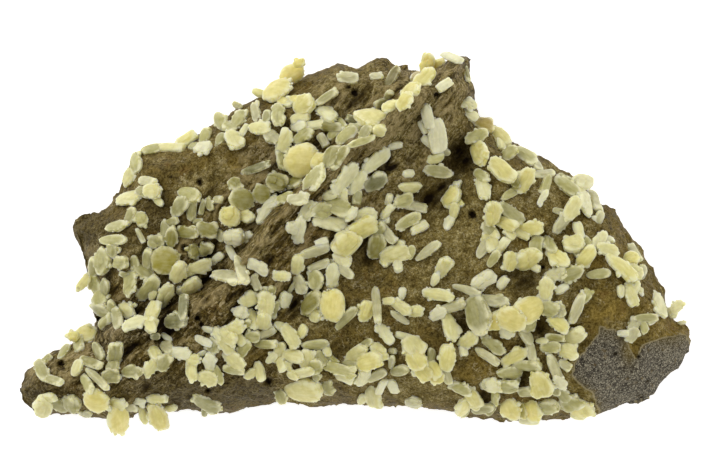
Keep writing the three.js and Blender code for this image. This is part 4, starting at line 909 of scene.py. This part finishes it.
def rim_chips(rng, spacing, length, width, thick, first=0.0, last=math.tau):
    """Chips along the rim of an oval, that stand out by about a tenth of a millimetre."""
    made = []
    turn = first
    while turn < last:
        size = rng.uniform(*CHIP_SIZES)
        c, s = math.cos(turn), math.sin(turn)
        reach = 1.0 / (abs(2 * c) ** SQUARISH + abs(2 * s) ** SQUARISH) ** (1 / SQUARISH)
        spot = Vector((c * reach * length, s * reach * width, rng.uniform(-0.2, 0.25) * thick))
        spot *= 1.0 - size * rng.uniform(0.4, 0.8) / max(spot.length, 0.5)
        chip = rhomb_chip(rng, size)
        move(chip, 0.0, spot)
        made.append(chip)
        turn += spacing * rng.uniform(0.4, 2.0) / max(spot.length, 0.5)
    return made


def buds(rng, count, length, width, thick):
    """Small tongues that grow out sideways, low on the crystal, and point away from its middle."""
    made = []
    for _ in range(count):
        turn = rng.uniform(0, math.tau)
        size = rng.uniform(*BUD_SIZES)
        spot = Vector((math.cos(turn) * 0.5 * length, math.sin(turn) * 0.5 * width, -0.1 * thick))
        spot *= 1.0 - rng.uniform(0.22, 0.4) * size / max(spot.length, 0.5)
        bud = shape_tongue(rng, size, size * rng.uniform(0.4, 0.55), min(thick, 1.2) * 0.8)
        if spot.length >= 0.3:
            turn = math.atan2(spot.y, spot.x) + rng.uniform(-0.4, 0.4)
        move(bud, turn, spot)
        made.append(bud)
    return made


def bundle(rng, length, width, marks):
    """The bodies of one crystal as bmeshes, in its own frame, and its thickness in mm."""
    if "o" in marks:
        thick = width * CUSHION
        bodies = [shape_rosette(rng, length, width, thick)]
        bodies += buds(rng, ROSETTE_BUDS, length, width, thick)
        return bodies + rim_chips(rng, 0.5, length * 0.96, width * 0.94, thick * 0.4), thick
    if width < BROAD and rng.random() < BAR_SHARE:
        thick = width * BAR_THICK
        bodies = [shape_bar(rng, length, width, thick)]
        return bodies + rim_chips(rng, 1.0, length * 0.98, width * 0.9, thick, -0.7, 0.7), thick
    stands = max(0.0, min(0.9, 1.9 - length / width))
    thick = width * (TONGUE_THICK + STANDING * stands)
    if width < BROAD:
        bodies = [shape_tongue(rng, length, width, thick)]
        bodies += buds(rng, rng.choice((0, 0, 1, 1, 2)), length, width, thick)
        return bodies + rim_chips(rng, 1.2, length, width, thick, -1.6, 1.6), thick
    thick = max(1.4, width * (0.5 + 0.36 * stands))
    bodies = [shape_tongue(rng, length, width, thick, notch=0.07, taper=0.2)]
    for _ in range(PETALS):
        share = rng.uniform(0.5, 0.7)
        petal = shape_tongue(rng, length * share, width * share, thick * 0.9, notch=0.07)
        side = rng.uniform(-0.26, 0.26)
        ahead = rng.uniform(-0.2, 0.24)
        move(petal, side * rng.uniform(0.5, 3.0), Vector((ahead * length, side * width, 0.17 * thick)))
        bodies.append(petal)
    bodies += buds(rng, FAN_BUDS, length, width, thick)
    return bodies + rim_chips(rng, 0.7, length, width, thick), thick


def move(bm, turn, offset):
    """Turns a body about Z and moves it by millimetres."""
    bmesh.ops.rotate(bm, verts=bm.verts, cent=(0, 0, 0), matrix=Matrix.Rotation(turn, 3, "Z"))
    bmesh.ops.translate(bm, verts=bm.verts, vec=offset * MM)


print("a broad crystal has", len(bundle(random.Random(1), 5.0, 3.5, "")[0]), "bodies")

# %% [markdown]
# A crystal sits on the rock where a plumb line from above meets it. Plumb lines at its ends and at
# its sides tell how it leans and rolls with the rock, and its tip stands up a little more than that.
# One that reaches past the edge has nothing below it and takes the height of the nearest rock. It is
# sunk a little, so that it grows out of the rock, and drawn out a little, so that a leaning crystal
# covers as much as was measured from above.

# %% Seat a crystal on the rock
STEEPEST = 0.75  # radians
TIP_UP = 0.5  # radians, the most that a tip stands up from the slope
UPRIGHT = 0.85  # radians, the most that a crystal stands up from the level
SUNK = 0.2  # how far the middle is sunk, as a share of the thickness
RAISED = 0.9  # mm, how much higher a crystal stands that overlaps its neighbours
LINES = (-0.4, -0.2, 0.2, 0.4)  # places of the plumb lines, as shares of the length or the width
MOST_DRAWN = 1.35  # how much longer a leaning crystal may be drawn
ROLL = 0.12  # radians, the most that a crystal rolls away from the slope


def rock_below(x, y):
    """Height of the rock in mm under a place, or None past its edge."""
    hit = rock_tree.ray_cast(place(x, y, 100.0), Vector((0, 0, -1)))[0]
    return hit.z / MM if hit else None


def rim_beside(x, y, level):
    """Height in mm of the rock that is nearest to a place."""
    hit = rock_tree.find_nearest(place(x, y, level))[0]
    return hit.z / MM


def slope(x, y, direction, reach):
    """How the rock climbs along a direction, in radians, and its height in a list, empty if missed."""
    steps = [k * reach for k in LINES]
    spots = [(k, rock_below(x + direction.x * k, y + direction.y * k)) for k in steps]
    found = [(k, z) for k, z in spots if z is not None]
    if len(found) < 2:
        return 0.0, [z for _, z in found]
    (k0, z0), (k1, z1) = found[0], found[-1]
    angle = math.atan2(z1 - z0, k1 - k0)
    return max(-STEEPEST, min(STEEPEST, angle)), [(z0 + z1) / 2]


def seat(rng, x, y, turn, length, width, thick, marks):
    """The matrix that puts a crystal in its place."""
    a = math.radians(turn)
    along = Vector((math.cos(a), math.sin(a)))
    aside = Vector((-along.y, along.x))
    lean, heights = slope(x, y, along, length)
    roll, more = slope(x, y, aside, max(width, 1.6))
    middle = rock_below(x, y)
    if middle is None:
        middle = max(heights + more, default=rim_beside(x, y, 16.0))
    middle = max([middle] + heights + more)
    up = 0.0 if "o" in marks else rng.uniform(0.0, TIP_UP)
    lift = thick * (0.5 - SUNK) + 0.33 * length * math.sin(up) + (RAISED if "^" in marks else 0.0)
    pitch = max(-UPRIGHT, min(UPRIGHT, lean + up))
    roll += rng.uniform(-ROLL, ROLL)
    turned = Euler((roll, -pitch, a), "XYZ").to_matrix().to_4x4()
    drawn = Matrix.Diagonal((min(MOST_DRAWN, 1.0 / math.cos(pitch)), 1.0 / math.cos(roll), 1.0, 1.0))
    return Matrix.Translation(place(x, y, middle + lift)) @ turned @ drawn


print("rock in the middle", round(rock_below(*CENTRE), 1), "mm high")

# %% [markdown]
# Crystals that have grown together are one body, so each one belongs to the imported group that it
# touches, and what touches none is a lone crystal. All the lone ones are one piece.

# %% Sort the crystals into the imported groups
TONES = {
    "W": (236, 232, 194), "WC": (235, 230, 180), "WG": (196, 191, 148), "C": (228, 221, 156),
    "CG": (182, 177, 112), "CY": (230, 220, 138), "G": (166, 161, 104), "Y": (238, 225, 138),
    "YD": (168, 157, 52), "YO": (180, 156, 62), "GO": (122, 110, 48), "D": (146, 139, 60),
    "DG": (124, 122, 80),
}
TOUCH = 0.55  # how near its group a crystal lies, as a share of its width
SEED = 20

group_names = sorted(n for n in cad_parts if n.startswith("calcite_group_"))


def node_tree(name):
    """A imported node's faces, ready for plumb lines and distances."""
    bm = bmesh.new()
    bm.from_mesh(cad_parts[name].data)
    tree = bvhtree.BVHTree.FromBMesh(bm)
    bm.free()
    return tree


group_trees = {name: node_tree(name) for name in group_names}


def group_of(matrix, length, width):
    """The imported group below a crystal's middle, else one that it touches, else 'lone'."""
    best, highest = None, -1.0
    above = Vector((matrix.translation.x, matrix.translation.y, 0.1))
    for name, tree in group_trees.items():
        hit = tree.ray_cast(above, Vector((0, 0, -1)))[0]
        if hit and hit.z > highest:
            best, highest = name, hit.z
    if best:
        return best
    best, nearest = "lone", width * TOUCH * MM
    for name, tree in group_trees.items():
        for k in (-0.3, 0.0, 0.3):
            distance = tree.find_nearest(matrix @ Vector((k * length * MM, 0, 0)), nearest)[3]
            if distance is not None and distance < nearest:
                best, nearest = name, distance
    return best


def linear(channel):
    """A colour channel from 0 to 255 as light from 0 to 1."""
    c = channel / 255.0
    return c / 12.92 if c <= 0.04045 else ((c + 0.055) / 1.055) ** 2.4


rng = random.Random(SEED)
members = {name: [] for name in group_names + ["lone"]}
for x, y, turn, length, width, tone, marks in crystals:
    bodies, thick = bundle(rng, length, width, marks)
    matrix = seat(rng, x, y, turn, length, width, thick, marks)
    shade = rng.uniform(0.92, 1.05)
    tint = [min(linear(c) * shade, 1.0) for c in TONES[tone]]
    for bm in bodies:
        bmesh.ops.transform(bm, matrix=matrix, verts=bm.verts)
    members[group_of(matrix, length, width)].append((bodies, tint, matrix, length, width))
print("lone crystals", len(members["lone"]), "and largest group", max(len(m) for m in members.values()))
print("groups with no crystal", [name for name, m in members.items() if not m])

# %% [markdown]
# The bodies of a group overlap, and calcite that grows together has no wall inside. A boolean union
# joins them and leaves a crisp crease where two meet. A voxel remesh would join them too, but would
# round off the notches. Each body carries its tint and its own coordinates through the union, as
# attributes of its corners, so that the material can follow each crystal.

# %% Join each group into one piece
SHARP = math.radians(34)  # creases sharper than this stay crisp
# The height off the rock, which the material uses for painted shade near the rock.
DEEP = 2.0  # mm off the rock, above which a crystal is as pale as it gets


def body_object(bm, tint, matrix, length, width, collection):
    """One body as an object: its tint, with its height off the rock as alpha, and its coordinates."""
    grain = bm.loops.layers.uv.new("grain")
    place_in = bm.loops.layers.uv.new("place_in")
    tinted = bm.loops.layers.float_color.new("tint")
    back = matrix.inverted()
    for v in bm.verts:
        own = back @ v.co / MM
        rock_point, rock_normal = rock_tree.find_nearest(v.co)[:2]
        height = (v.co - rock_point).dot(rock_normal) / MM
        for loop in v.link_loops:
            loop[grain].uv = own.xy
            loop[place_in].uv = (own.x / length, own.y / width)
            loop[tinted] = (*tint, max(0.0, min(1.0, height / DEEP)))
    mesh = bpy.data.meshes.new("body")
    bm.to_mesh(mesh)
    bm.free()
    body = bpy.data.objects.new("body", mesh)
    collection.objects.link(body)
    return body


def join_group(name, group):
    """The union of all bodies of a group, as one mesh."""
    collection = bpy.data.collections.new(name)
    bpy.context.scene.collection.children.link(collection)
    bodies = []
    for made, tint, matrix, length, width in group:
        bodies += [body_object(bm, tint, matrix, length, width, collection) for bm in made]
    first = bodies[0]
    collection.objects.unlink(first)
    bpy.context.scene.collection.objects.link(first)
    if len(bodies) > 1:
        union = first.modifiers.new("union", "BOOLEAN")
        union.operation = "UNION"
        union.solver = "MANIFOLD"
        union.operand_type = "COLLECTION"
        union.collection = collection
    joined = first.evaluated_get(bpy.context.evaluated_depsgraph_get())
    mesh = bpy.data.meshes.new_from_object(joined)
    mesh.name = name
    for body in bodies:
        bpy.data.meshes.remove(body.data)
    bpy.data.collections.remove(collection)
    mesh.shade_smooth()
    mesh.set_sharp_from_angle(angle=SHARP)
    return mesh


crystal_pieces = []
for name, group in members.items():
    if not group:
        continue
    piece_name = "calcite_lone_crystals" if name == "lone" else name.replace("group", "crystals")
    piece = put(piece_name, join_group(piece_name, group))
    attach(piece, "root")
    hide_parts("basalt_matrix" if name == "lone" else name)
    crystal_pieces.append(piece)
counts = [sum(len(p.vertices) - 2 for p in o.data.polygons) for o in crystal_pieces]
print(len(crystal_pieces), "crystal pieces,", sum(counts), "triangles, the largest", max(counts))

# %% [markdown]
# ## Materials
#
# A few helpers keep the node trees short: one adds a node and sets its sockets, one makes a noise,
# and one lays a coat of colour over another. Colours are named, in red, green and blue from 0 to 255.

# %% Node helpers
def new_material(name):
    """A material, its node tree and its Principled node."""
    material = bpy.data.materials.new(name)
    material.use_nodes = True
    return material, material.node_tree, material.node_tree.nodes["Principled BSDF"]


def fill(tree, socket, value):
    """Links a socket to another node's output, or sets it to a plain value."""
    if isinstance(value, bpy.types.NodeSocket):
        tree.links.new(value, socket)
    else:
        socket.default_value = value


def add(tree, kind, settings=(), **sockets):
    """A new node with its settings made and its sockets filled."""
    node = tree.nodes.new(kind)
    for key, value in settings:
        setattr(node, key, value)
    for key, value in sockets.items():
        fill(tree, node.inputs[key], value)
    return node


def noise_of(tree, coords, size_mm, detail=3.0, rough=0.55, distortion=0.0):
    """Noise with lumps of about size_mm, in metres of Object coordinates."""
    shape = {"Scale": 1.0 / (size_mm * MM), "Detail": detail, "Roughness": rough}
    node = add(tree, "ShaderNodeTexNoise", Vector=coords, Distortion=distortion, **shape)
    return node.outputs["Fac"]


def between(tree, value, low, high):
    """0 at low, 1 at high, and smooth between. It falls where low is the greater."""
    ends = {"From Min": low, "From Max": high}
    node = add(tree, "ShaderNodeMapRange", [("interpolation_type", "SMOOTHSTEP")], Value=value, **ends)
    return node.outputs["Result"]


def mix(tree, share, a, b):
    """From colour a, where the share is 0, to colour b, where it is 1."""
    node = add(tree, "ShaderNodeMix", [("data_type", "RGBA")])
    for index, value in ((0, share), (6, a), (7, b)):
        fill(tree, node.inputs[index], value)
    return node.outputs[2]


def colour(rgb):
    """A named colour as the four values that a socket takes."""
    return (*[linear(channel) for channel in rgb], 1.0)


def shades_of(tree, share, two):
    """From the first of two named colours to the second."""
    return mix(tree, share, colour(two[0]), colour(two[1]))


def coat(tree, under, rgb, share):
    """A named colour laid over another, by a share."""
    return mix(tree, share, under, colour(rgb))


def maths(tree, operation, a, b, clamp=False):
    node = add(tree, "ShaderNodeMath", [("operation", operation), ("use_clamp", clamp)])
    for index, value in enumerate((a, b)):
        fill(tree, node.inputs[index], value)
    return node.outputs[0]


def times(tree, a, b):
    return maths(tree, "MULTIPLY", a, b)


def plus(tree, a, b):
    return maths(tree, "ADD", a, b)


def minus(tree, a, b):
    return maths(tree, "SUBTRACT", a, b)


def attribute(tree, name):
    """The node that reads what a mesh carries under a name."""
    return add(tree, "ShaderNodeAttribute", [("attribute_name", name)])


print("named colours are light from 0 to 1:", [round(c, 2) for c in colour((186, 186, 186))])

# %% [markdown]
# The basalt has a weathered skin of brown iron oxide and clay, golden where it is thin and darker
# brown in the hollows, where painted shade darkens it further. Films of grey dust lie on the high
# places and round the feet of the crystals, strewn with pale grains a quarter of a millimetre across.
# Along the crest, painted dark grooves and pale lines stand for the shade and light on its drawn-out
# ribs, and painted light makes the high places paler. The skin comes first, and the fresh break is
# laid beside it later.

# %% Weathered skin
SKIN = ((70, 54, 10), (118, 97, 36))
GOLDEN_SKIN = ((104, 81, 10), (154, 128, 50))
DUST = ((100, 84, 36), (146, 130, 74))
RUST = (96, 60, 16)
# Painted shade of the listed hollows and low places.
SHADE = (46, 34, 8)
SALT = (198, 186, 138)
SOOT = (22, 15, 2)
SAND = (190, 172, 108)
THREAD = (192, 178, 136)
# Painted shade in the grooves along the crest, and painted light on the ribs between them.
GROOVE_SHADE = (34, 24, 8)
RIB_LIGHT = (192, 176, 136)
# Painted light on the high places.
RIDGE_LIGHT = (172, 154, 108)


def cells_of(tree, coords, size_mm):
    """A random value from 0 to 1 for each grain of about size_mm."""
    node = add(tree, "ShaderNodeTexVoronoi", Vector=coords, Scale=1.0 / (size_mm * MM))
    return add(tree, "ShaderNodeSeparateColor", Color=node.outputs["Color"]).outputs["Red"]


def dust_film(tree, coords, here, cover):
    """The share of dusty film: on dusty, crusted and high places, less in the shaded ones."""
    film = times(tree, here["dust"], 0.34)
    film = plus(tree, film, times(tree, here["crust"], 0.18))
    film = plus(tree, film, times(tree, between(tree, here["lift"], 0.4, 0.8), 0.12))
    film = minus(tree, film, times(tree, here["shaded"], 0.3))
    return between(tree, plus(tree, film, cover), 0.56, 0.82)


def crest_rib_light_and_shade(tree, coords, skin, crest):
    """Painted shade in grooves and painted light on lines, three times as long as they are wide, along
    the crest.
    """
    drawn = add(tree, "ShaderNodeMapping", [("vector_type", "TEXTURE")], Vector=coords)
    drawn.inputs["Rotation"].default_value = (0.0, 0.0, math.radians(CREST_TURN))
    drawn.inputs["Scale"].default_value = (3.0, 1.0, 1.0)
    streaks = noise_of(tree, drawn.outputs["Vector"], 0.6, detail=4.0, rough=0.7)
    # Painted shade in the grooves and painted light on the ribs.
    for rgb, low, high, share in ((GROOVE_SHADE, 0.47, 0.4, 0.85), (RIB_LIGHT, 0.54, 0.62, 0.8)):
        strength = times(tree, between(tree, streaks, low, high), times(tree, crest, share))
        skin = coat(tree, skin, rgb, strength)
    return skin


def weathered_skin(tree, coords, here):
    """The colour of the skin, with its painted shade and light, and the share of dusty film on it."""
    broad = noise_of(tree, coords, 6.0)
    patches = noise_of(tree, coords, 1.8, detail=6.0, rough=0.7)
    rust = between(tree, noise_of(tree, coords, 3.6), 0.56, 0.7)
    skin = shades_of(tree, between(tree, patches, 0.36, 0.62), SKIN)
    golden = shades_of(tree, between(tree, patches, 0.36, 0.62), GOLDEN_SKIN)
    skin = mix(tree, times(tree, here["gold"], between(tree, broad, 0.2, 0.4)), skin, golden)
    skin = coat(tree, skin, RUST, times(tree, rust, 0.55))
    # Painted shade over the listed hollows and low places.
    skin = coat(tree, skin, SHADE, times(tree, here["shaded"], 0.75))

    cover = noise_of(tree, coords, 4.2, detail=6.0, rough=0.62)
    film = dust_film(tree, coords, here, cover)
    dust = shades_of(tree, between(tree, patches, 0.4, 0.6), DUST)
    skin = mix(tree, times(tree, film, 0.75), skin, dust)
    rare = minus(tree, 0.95, times(tree, film, 0.3))
    salt = between(tree, minus(tree, cells_of(tree, coords, 0.22), rare), 0.0, 0.1)
    salt = times(tree, salt, between(tree, patches, 0.4, 0.62))
    skin = coat(tree, skin, SALT, times(tree, salt, 0.8))

    gritty = noise_of(tree, coords, 0.5, detail=5.0, rough=0.8)
    darker, lighter = coat(tree, skin, SOOT, 0.45), coat(tree, skin, SAND, 0.22)
    skin = mix(tree, between(tree, gritty, 0.4, 0.6), darker, lighter)
    threads = noise_of(tree, coords, 2.6, detail=4.0, rough=0.6, distortion=0.6)
    threads = maths(tree, "ABSOLUTE", minus(tree, threads, 0.5), 0.0)
    threads = times(tree, between(tree, threads, 0.02, 0.0), between(tree, cover, 0.45, 0.6))
    skin = coat(tree, skin, THREAD, times(tree, threads, 0.6))
    skin = crest_rib_light_and_shade(tree, coords, skin, here["crest"])
    # Painted light: the high places are paler, in patches.
    ridge = times(tree, between(tree, here["lift"], 0.58, 0.86), between(tree, patches, 0.3, 0.55))
    return coat(tree, skin, RIDGE_LIGHT, times(tree, ridge, 0.5)), film


print("skin colours from", SOOT, "to", SALT)

# %% [markdown]
# The fresh break is grey rock with mineral grains a fifth of a millimetre across. Over both the skin
# and the break, painted shade darkens the low places, and the lowest, such as the gas bubbles,
# nearly to black. A little bump gives the grain that is too fine for the mesh.

# %% Fresh break and the whole rock
RAW = ((78, 73, 64), (122, 115, 98))
DARK_GRAIN = (56, 52, 46)
PALE_GRAIN = (172, 164, 140)
STAIN = (112, 90, 44)
VEIN = (116, 98, 36)
PALE_EDGE = (168, 156, 118)
# Painted shade of the low places, and of the deepest pits.
LOW_SHADE = (46, 33, 4)
PIT_SHADE = (22, 12, 6)
CARRIED = ("fresh", "dust", "gold", "lift", "crust", "shaded", "crest")


def fresh_break(tree, coords, gold):
    """The colour of the broken rock."""
    grains = cells_of(tree, coords, 0.2)
    shades = noise_of(tree, coords, 1.2, detail=5.0, rough=0.7)
    raw = shades_of(tree, between(tree, shades, 0.35, 0.65), RAW)
    raw = coat(tree, raw, DARK_GRAIN, between(tree, grains, 0.4, 0.1))
    raw = coat(tree, raw, PALE_GRAIN, between(tree, grains, 0.66, 0.95))
    stains = between(tree, noise_of(tree, coords, 1.5, detail=2.0), 0.6, 0.7)
    raw = coat(tree, raw, STAIN, times(tree, stains, 0.4))
    return coat(tree, raw, VEIN, times(tree, gold, 0.6))


def basalt_material():
    material, tree, shader = new_material("weathered_basalt")
    coords = add(tree, "ShaderNodeTexCoord").outputs["Object"]
    here = {name: attribute(tree, name).outputs["Fac"] for name in CARRIED}
    fresh, lift = here["fresh"], here["lift"]
    skin, film = weathered_skin(tree, coords, here)
    whole = mix(tree, fresh, skin, fresh_break(tree, coords, here["gold"]))
    edge = times(tree, between(tree, fresh, 0.0, 0.4), between(tree, fresh, 1.0, 0.6))
    whole = coat(tree, whole, PALE_EDGE, times(tree, edge, 0.7))
    # Painted shade: the lower a place lies, the darker it is painted, and the deepest pits nearly black.
    whole = coat(tree, whole, LOW_SHADE, times(tree, between(tree, lift, 0.46, 0.08), 0.75))
    whole = coat(tree, whole, PIT_SHADE, times(tree, between(tree, lift, 0.12, 0.0), 0.9))
    tree.links.new(whole, shader.inputs["Base Color"])

    dull = plus(tree, 0.5, times(tree, film, 0.35))
    dull = maths(tree, "ADD", dull, times(tree, fresh, 0.3), clamp=True)
    tree.links.new(dull, shader.inputs["Roughness"])
    shader.inputs["Specular IOR Level"].default_value = 0.06
    fine = noise_of(tree, coords, 0.7, detail=6.0, rough=0.7)
    bump = add(tree, "ShaderNodeBump", Height=fine, Strength=0.8, Distance=0.4 * MM)
    tree.links.new(bump.outputs["Normal"], shader.inputs["Normal"])
    return material


rock.data.materials.append(basalt_material())
for polygon in rock.data.polygons:
    polygon.use_smooth = True
print("basalt nodes", len(rock.data.materials[0].node_tree.nodes))

# %% [markdown]
# The calcite is milky. Light goes in, scatters and comes out again nearby, which is what subsurface
# scattering does, so the crystals glow at their edges. The tint comes from each crystal. It is
# clouded and streaked along the crystal. Painted light makes it paler at the rim, and painted shade
# makes it darker near the rock, where shade falls and the crystal is thin and clearer. Fine growth
# lines run along it in the bump.

# %% Calcite
CLEAR = (128, 122, 40)  # what shows through where the calcite is clear
# Painted shade low on a crystal, near the rock.
FOOT_SHADE = (112, 104, 40)
# Painted light at the rim of a crystal.
RIM_LIGHT = (240, 236, 198)
MILK = (1.0, 0.98, 0.72, 1.0)  # as light from 0 to 1


def calcite_material():
    material, tree, shader = new_material("milky_calcite")
    coords = add(tree, "ShaderNodeTexCoord").outputs["Object"]
    carried = attribute(tree, "tint")
    tint, height = carried.outputs["Color"], carried.outputs["Alpha"]
    grain = add(tree, "ShaderNodeUVMap", [("uv_map", "grain")]).outputs["UV"]
    drawn = add(tree, "ShaderNodeMapping", Vector=grain, Scale=(0.4, 2.2, 1.0)).outputs["Vector"]
    lines = add(tree, "ShaderNodeTexNoise", Vector=drawn, Scale=1.0, Detail=3.0).outputs["Fac"]
    where = add(tree, "ShaderNodeUVMap", [("uv_map", "place_in")]).outputs["UV"]
    out = add(tree, "ShaderNodeVectorMath", [("operation", "LENGTH")], Vector=where).outputs["Value"]
    clouds = noise_of(tree, coords, 1.4)
    milky = plus(tree, times(tree, lines, 0.4), times(tree, clouds, 0.6))
    pale = mix(tree, 0.2, tint, MILK)
    deep = coat(tree, tint, CLEAR, 0.22)
    body = mix(tree, between(tree, milky, 0.3, 0.75), deep, pale)
    # Painted shade near the rock, where shade falls and the thin calcite would show the rock through.
    body = mix(tree, between(tree, height, 0.0, 0.35), coat(tree, body, FOOT_SHADE, 0.45), body)
    # Painted light: paler, in clouds, towards the rim, where light would come out of the calcite.
    rim = times(tree, between(tree, out, 0.32, 0.54), between(tree, clouds, 0.3, 0.55))
    body = coat(tree, body, RIM_LIGHT, times(tree, rim, 0.75))
    tree.links.new(body, shader.inputs["Base Color"])
    shader.inputs["Roughness"].default_value = 0.38
    shader.inputs["Specular IOR Level"].default_value = 0.4
    shader.inputs["Subsurface Weight"].default_value = 0.9
    shader.inputs["Subsurface Radius"].default_value = (1.0, 0.92, 0.45)
    shader.inputs["Subsurface Scale"].default_value = 1.7 * MM
    frost = noise_of(tree, coords, 0.35)
    ridges = plus(tree, lines, times(tree, frost, 0.7))
    bump = add(tree, "ShaderNodeBump", Height=ridges, Strength=0.5, Distance=0.08 * MM)
    tree.links.new(bump.outputs["Normal"], shader.inputs["Normal"])
    return material


calcite = calcite_material()
for piece in crystal_pieces:
    piece.data.materials.clear()
    piece.data.materials.append(calcite)
print("calcite nodes", len(calcite.node_tree.nodes))

# %% [markdown]
# ## Floor and light
#
# A plain pale floor, and soft light from a large lamp on the upper left, a weaker one on the right
# and the pale room all round.

# %% Floor, lamps and room
floor_bm = bmesh.new()
bmesh.ops.create_grid(floor_bm, x_segments=1, y_segments=1, size=6.0)
floor_mesh = bpy.data.meshes.new("floor")
floor_bm.to_mesh(floor_mesh)
floor_bm.free()
floor = put("floor", floor_mesh)
floor_material, _, floor_shader = new_material("pale_paper")
floor_shader.inputs["Base Color"].default_value = (0.95, 0.95, 0.94, 1.0)
floor_shader.inputs["Roughness"].default_value = 0.9
floor_shader.inputs["Emission Color"].default_value = (1.0, 1.0, 1.0, 1.0)
floor_shader.inputs["Emission Strength"].default_value = 0.65
floor.data.materials.append(floor_material)


def lamp(name, at, size, watts):
    """A square lamp that points at the origin and is not seen itself."""
    data = bpy.data.lights.new(name, "AREA")
    data.shape = "SQUARE"
    data.size = size
    data.energy = watts
    made = put(name, data)
    made.location = at
    made.rotation_euler = Vector(at).to_track_quat("Z", "Y").to_euler()
    made.visible_camera = False


lamp("key", (-0.45, 0.5, 0.75), 0.7, 4.0)
lamp("fill", (0.6, -0.2, 0.7), 0.6, 1.6)
world = bpy.data.worlds.new("room")
bpy.context.scene.world = world
world.use_nodes = True
room = world.node_tree.nodes["Background"]
room.inputs["Color"].default_value = (1.0, 1.0, 1.0, 1.0)
room.inputs["Strength"].default_value = 0.5
bpy.context.scene.view_settings.view_transform = "Standard"
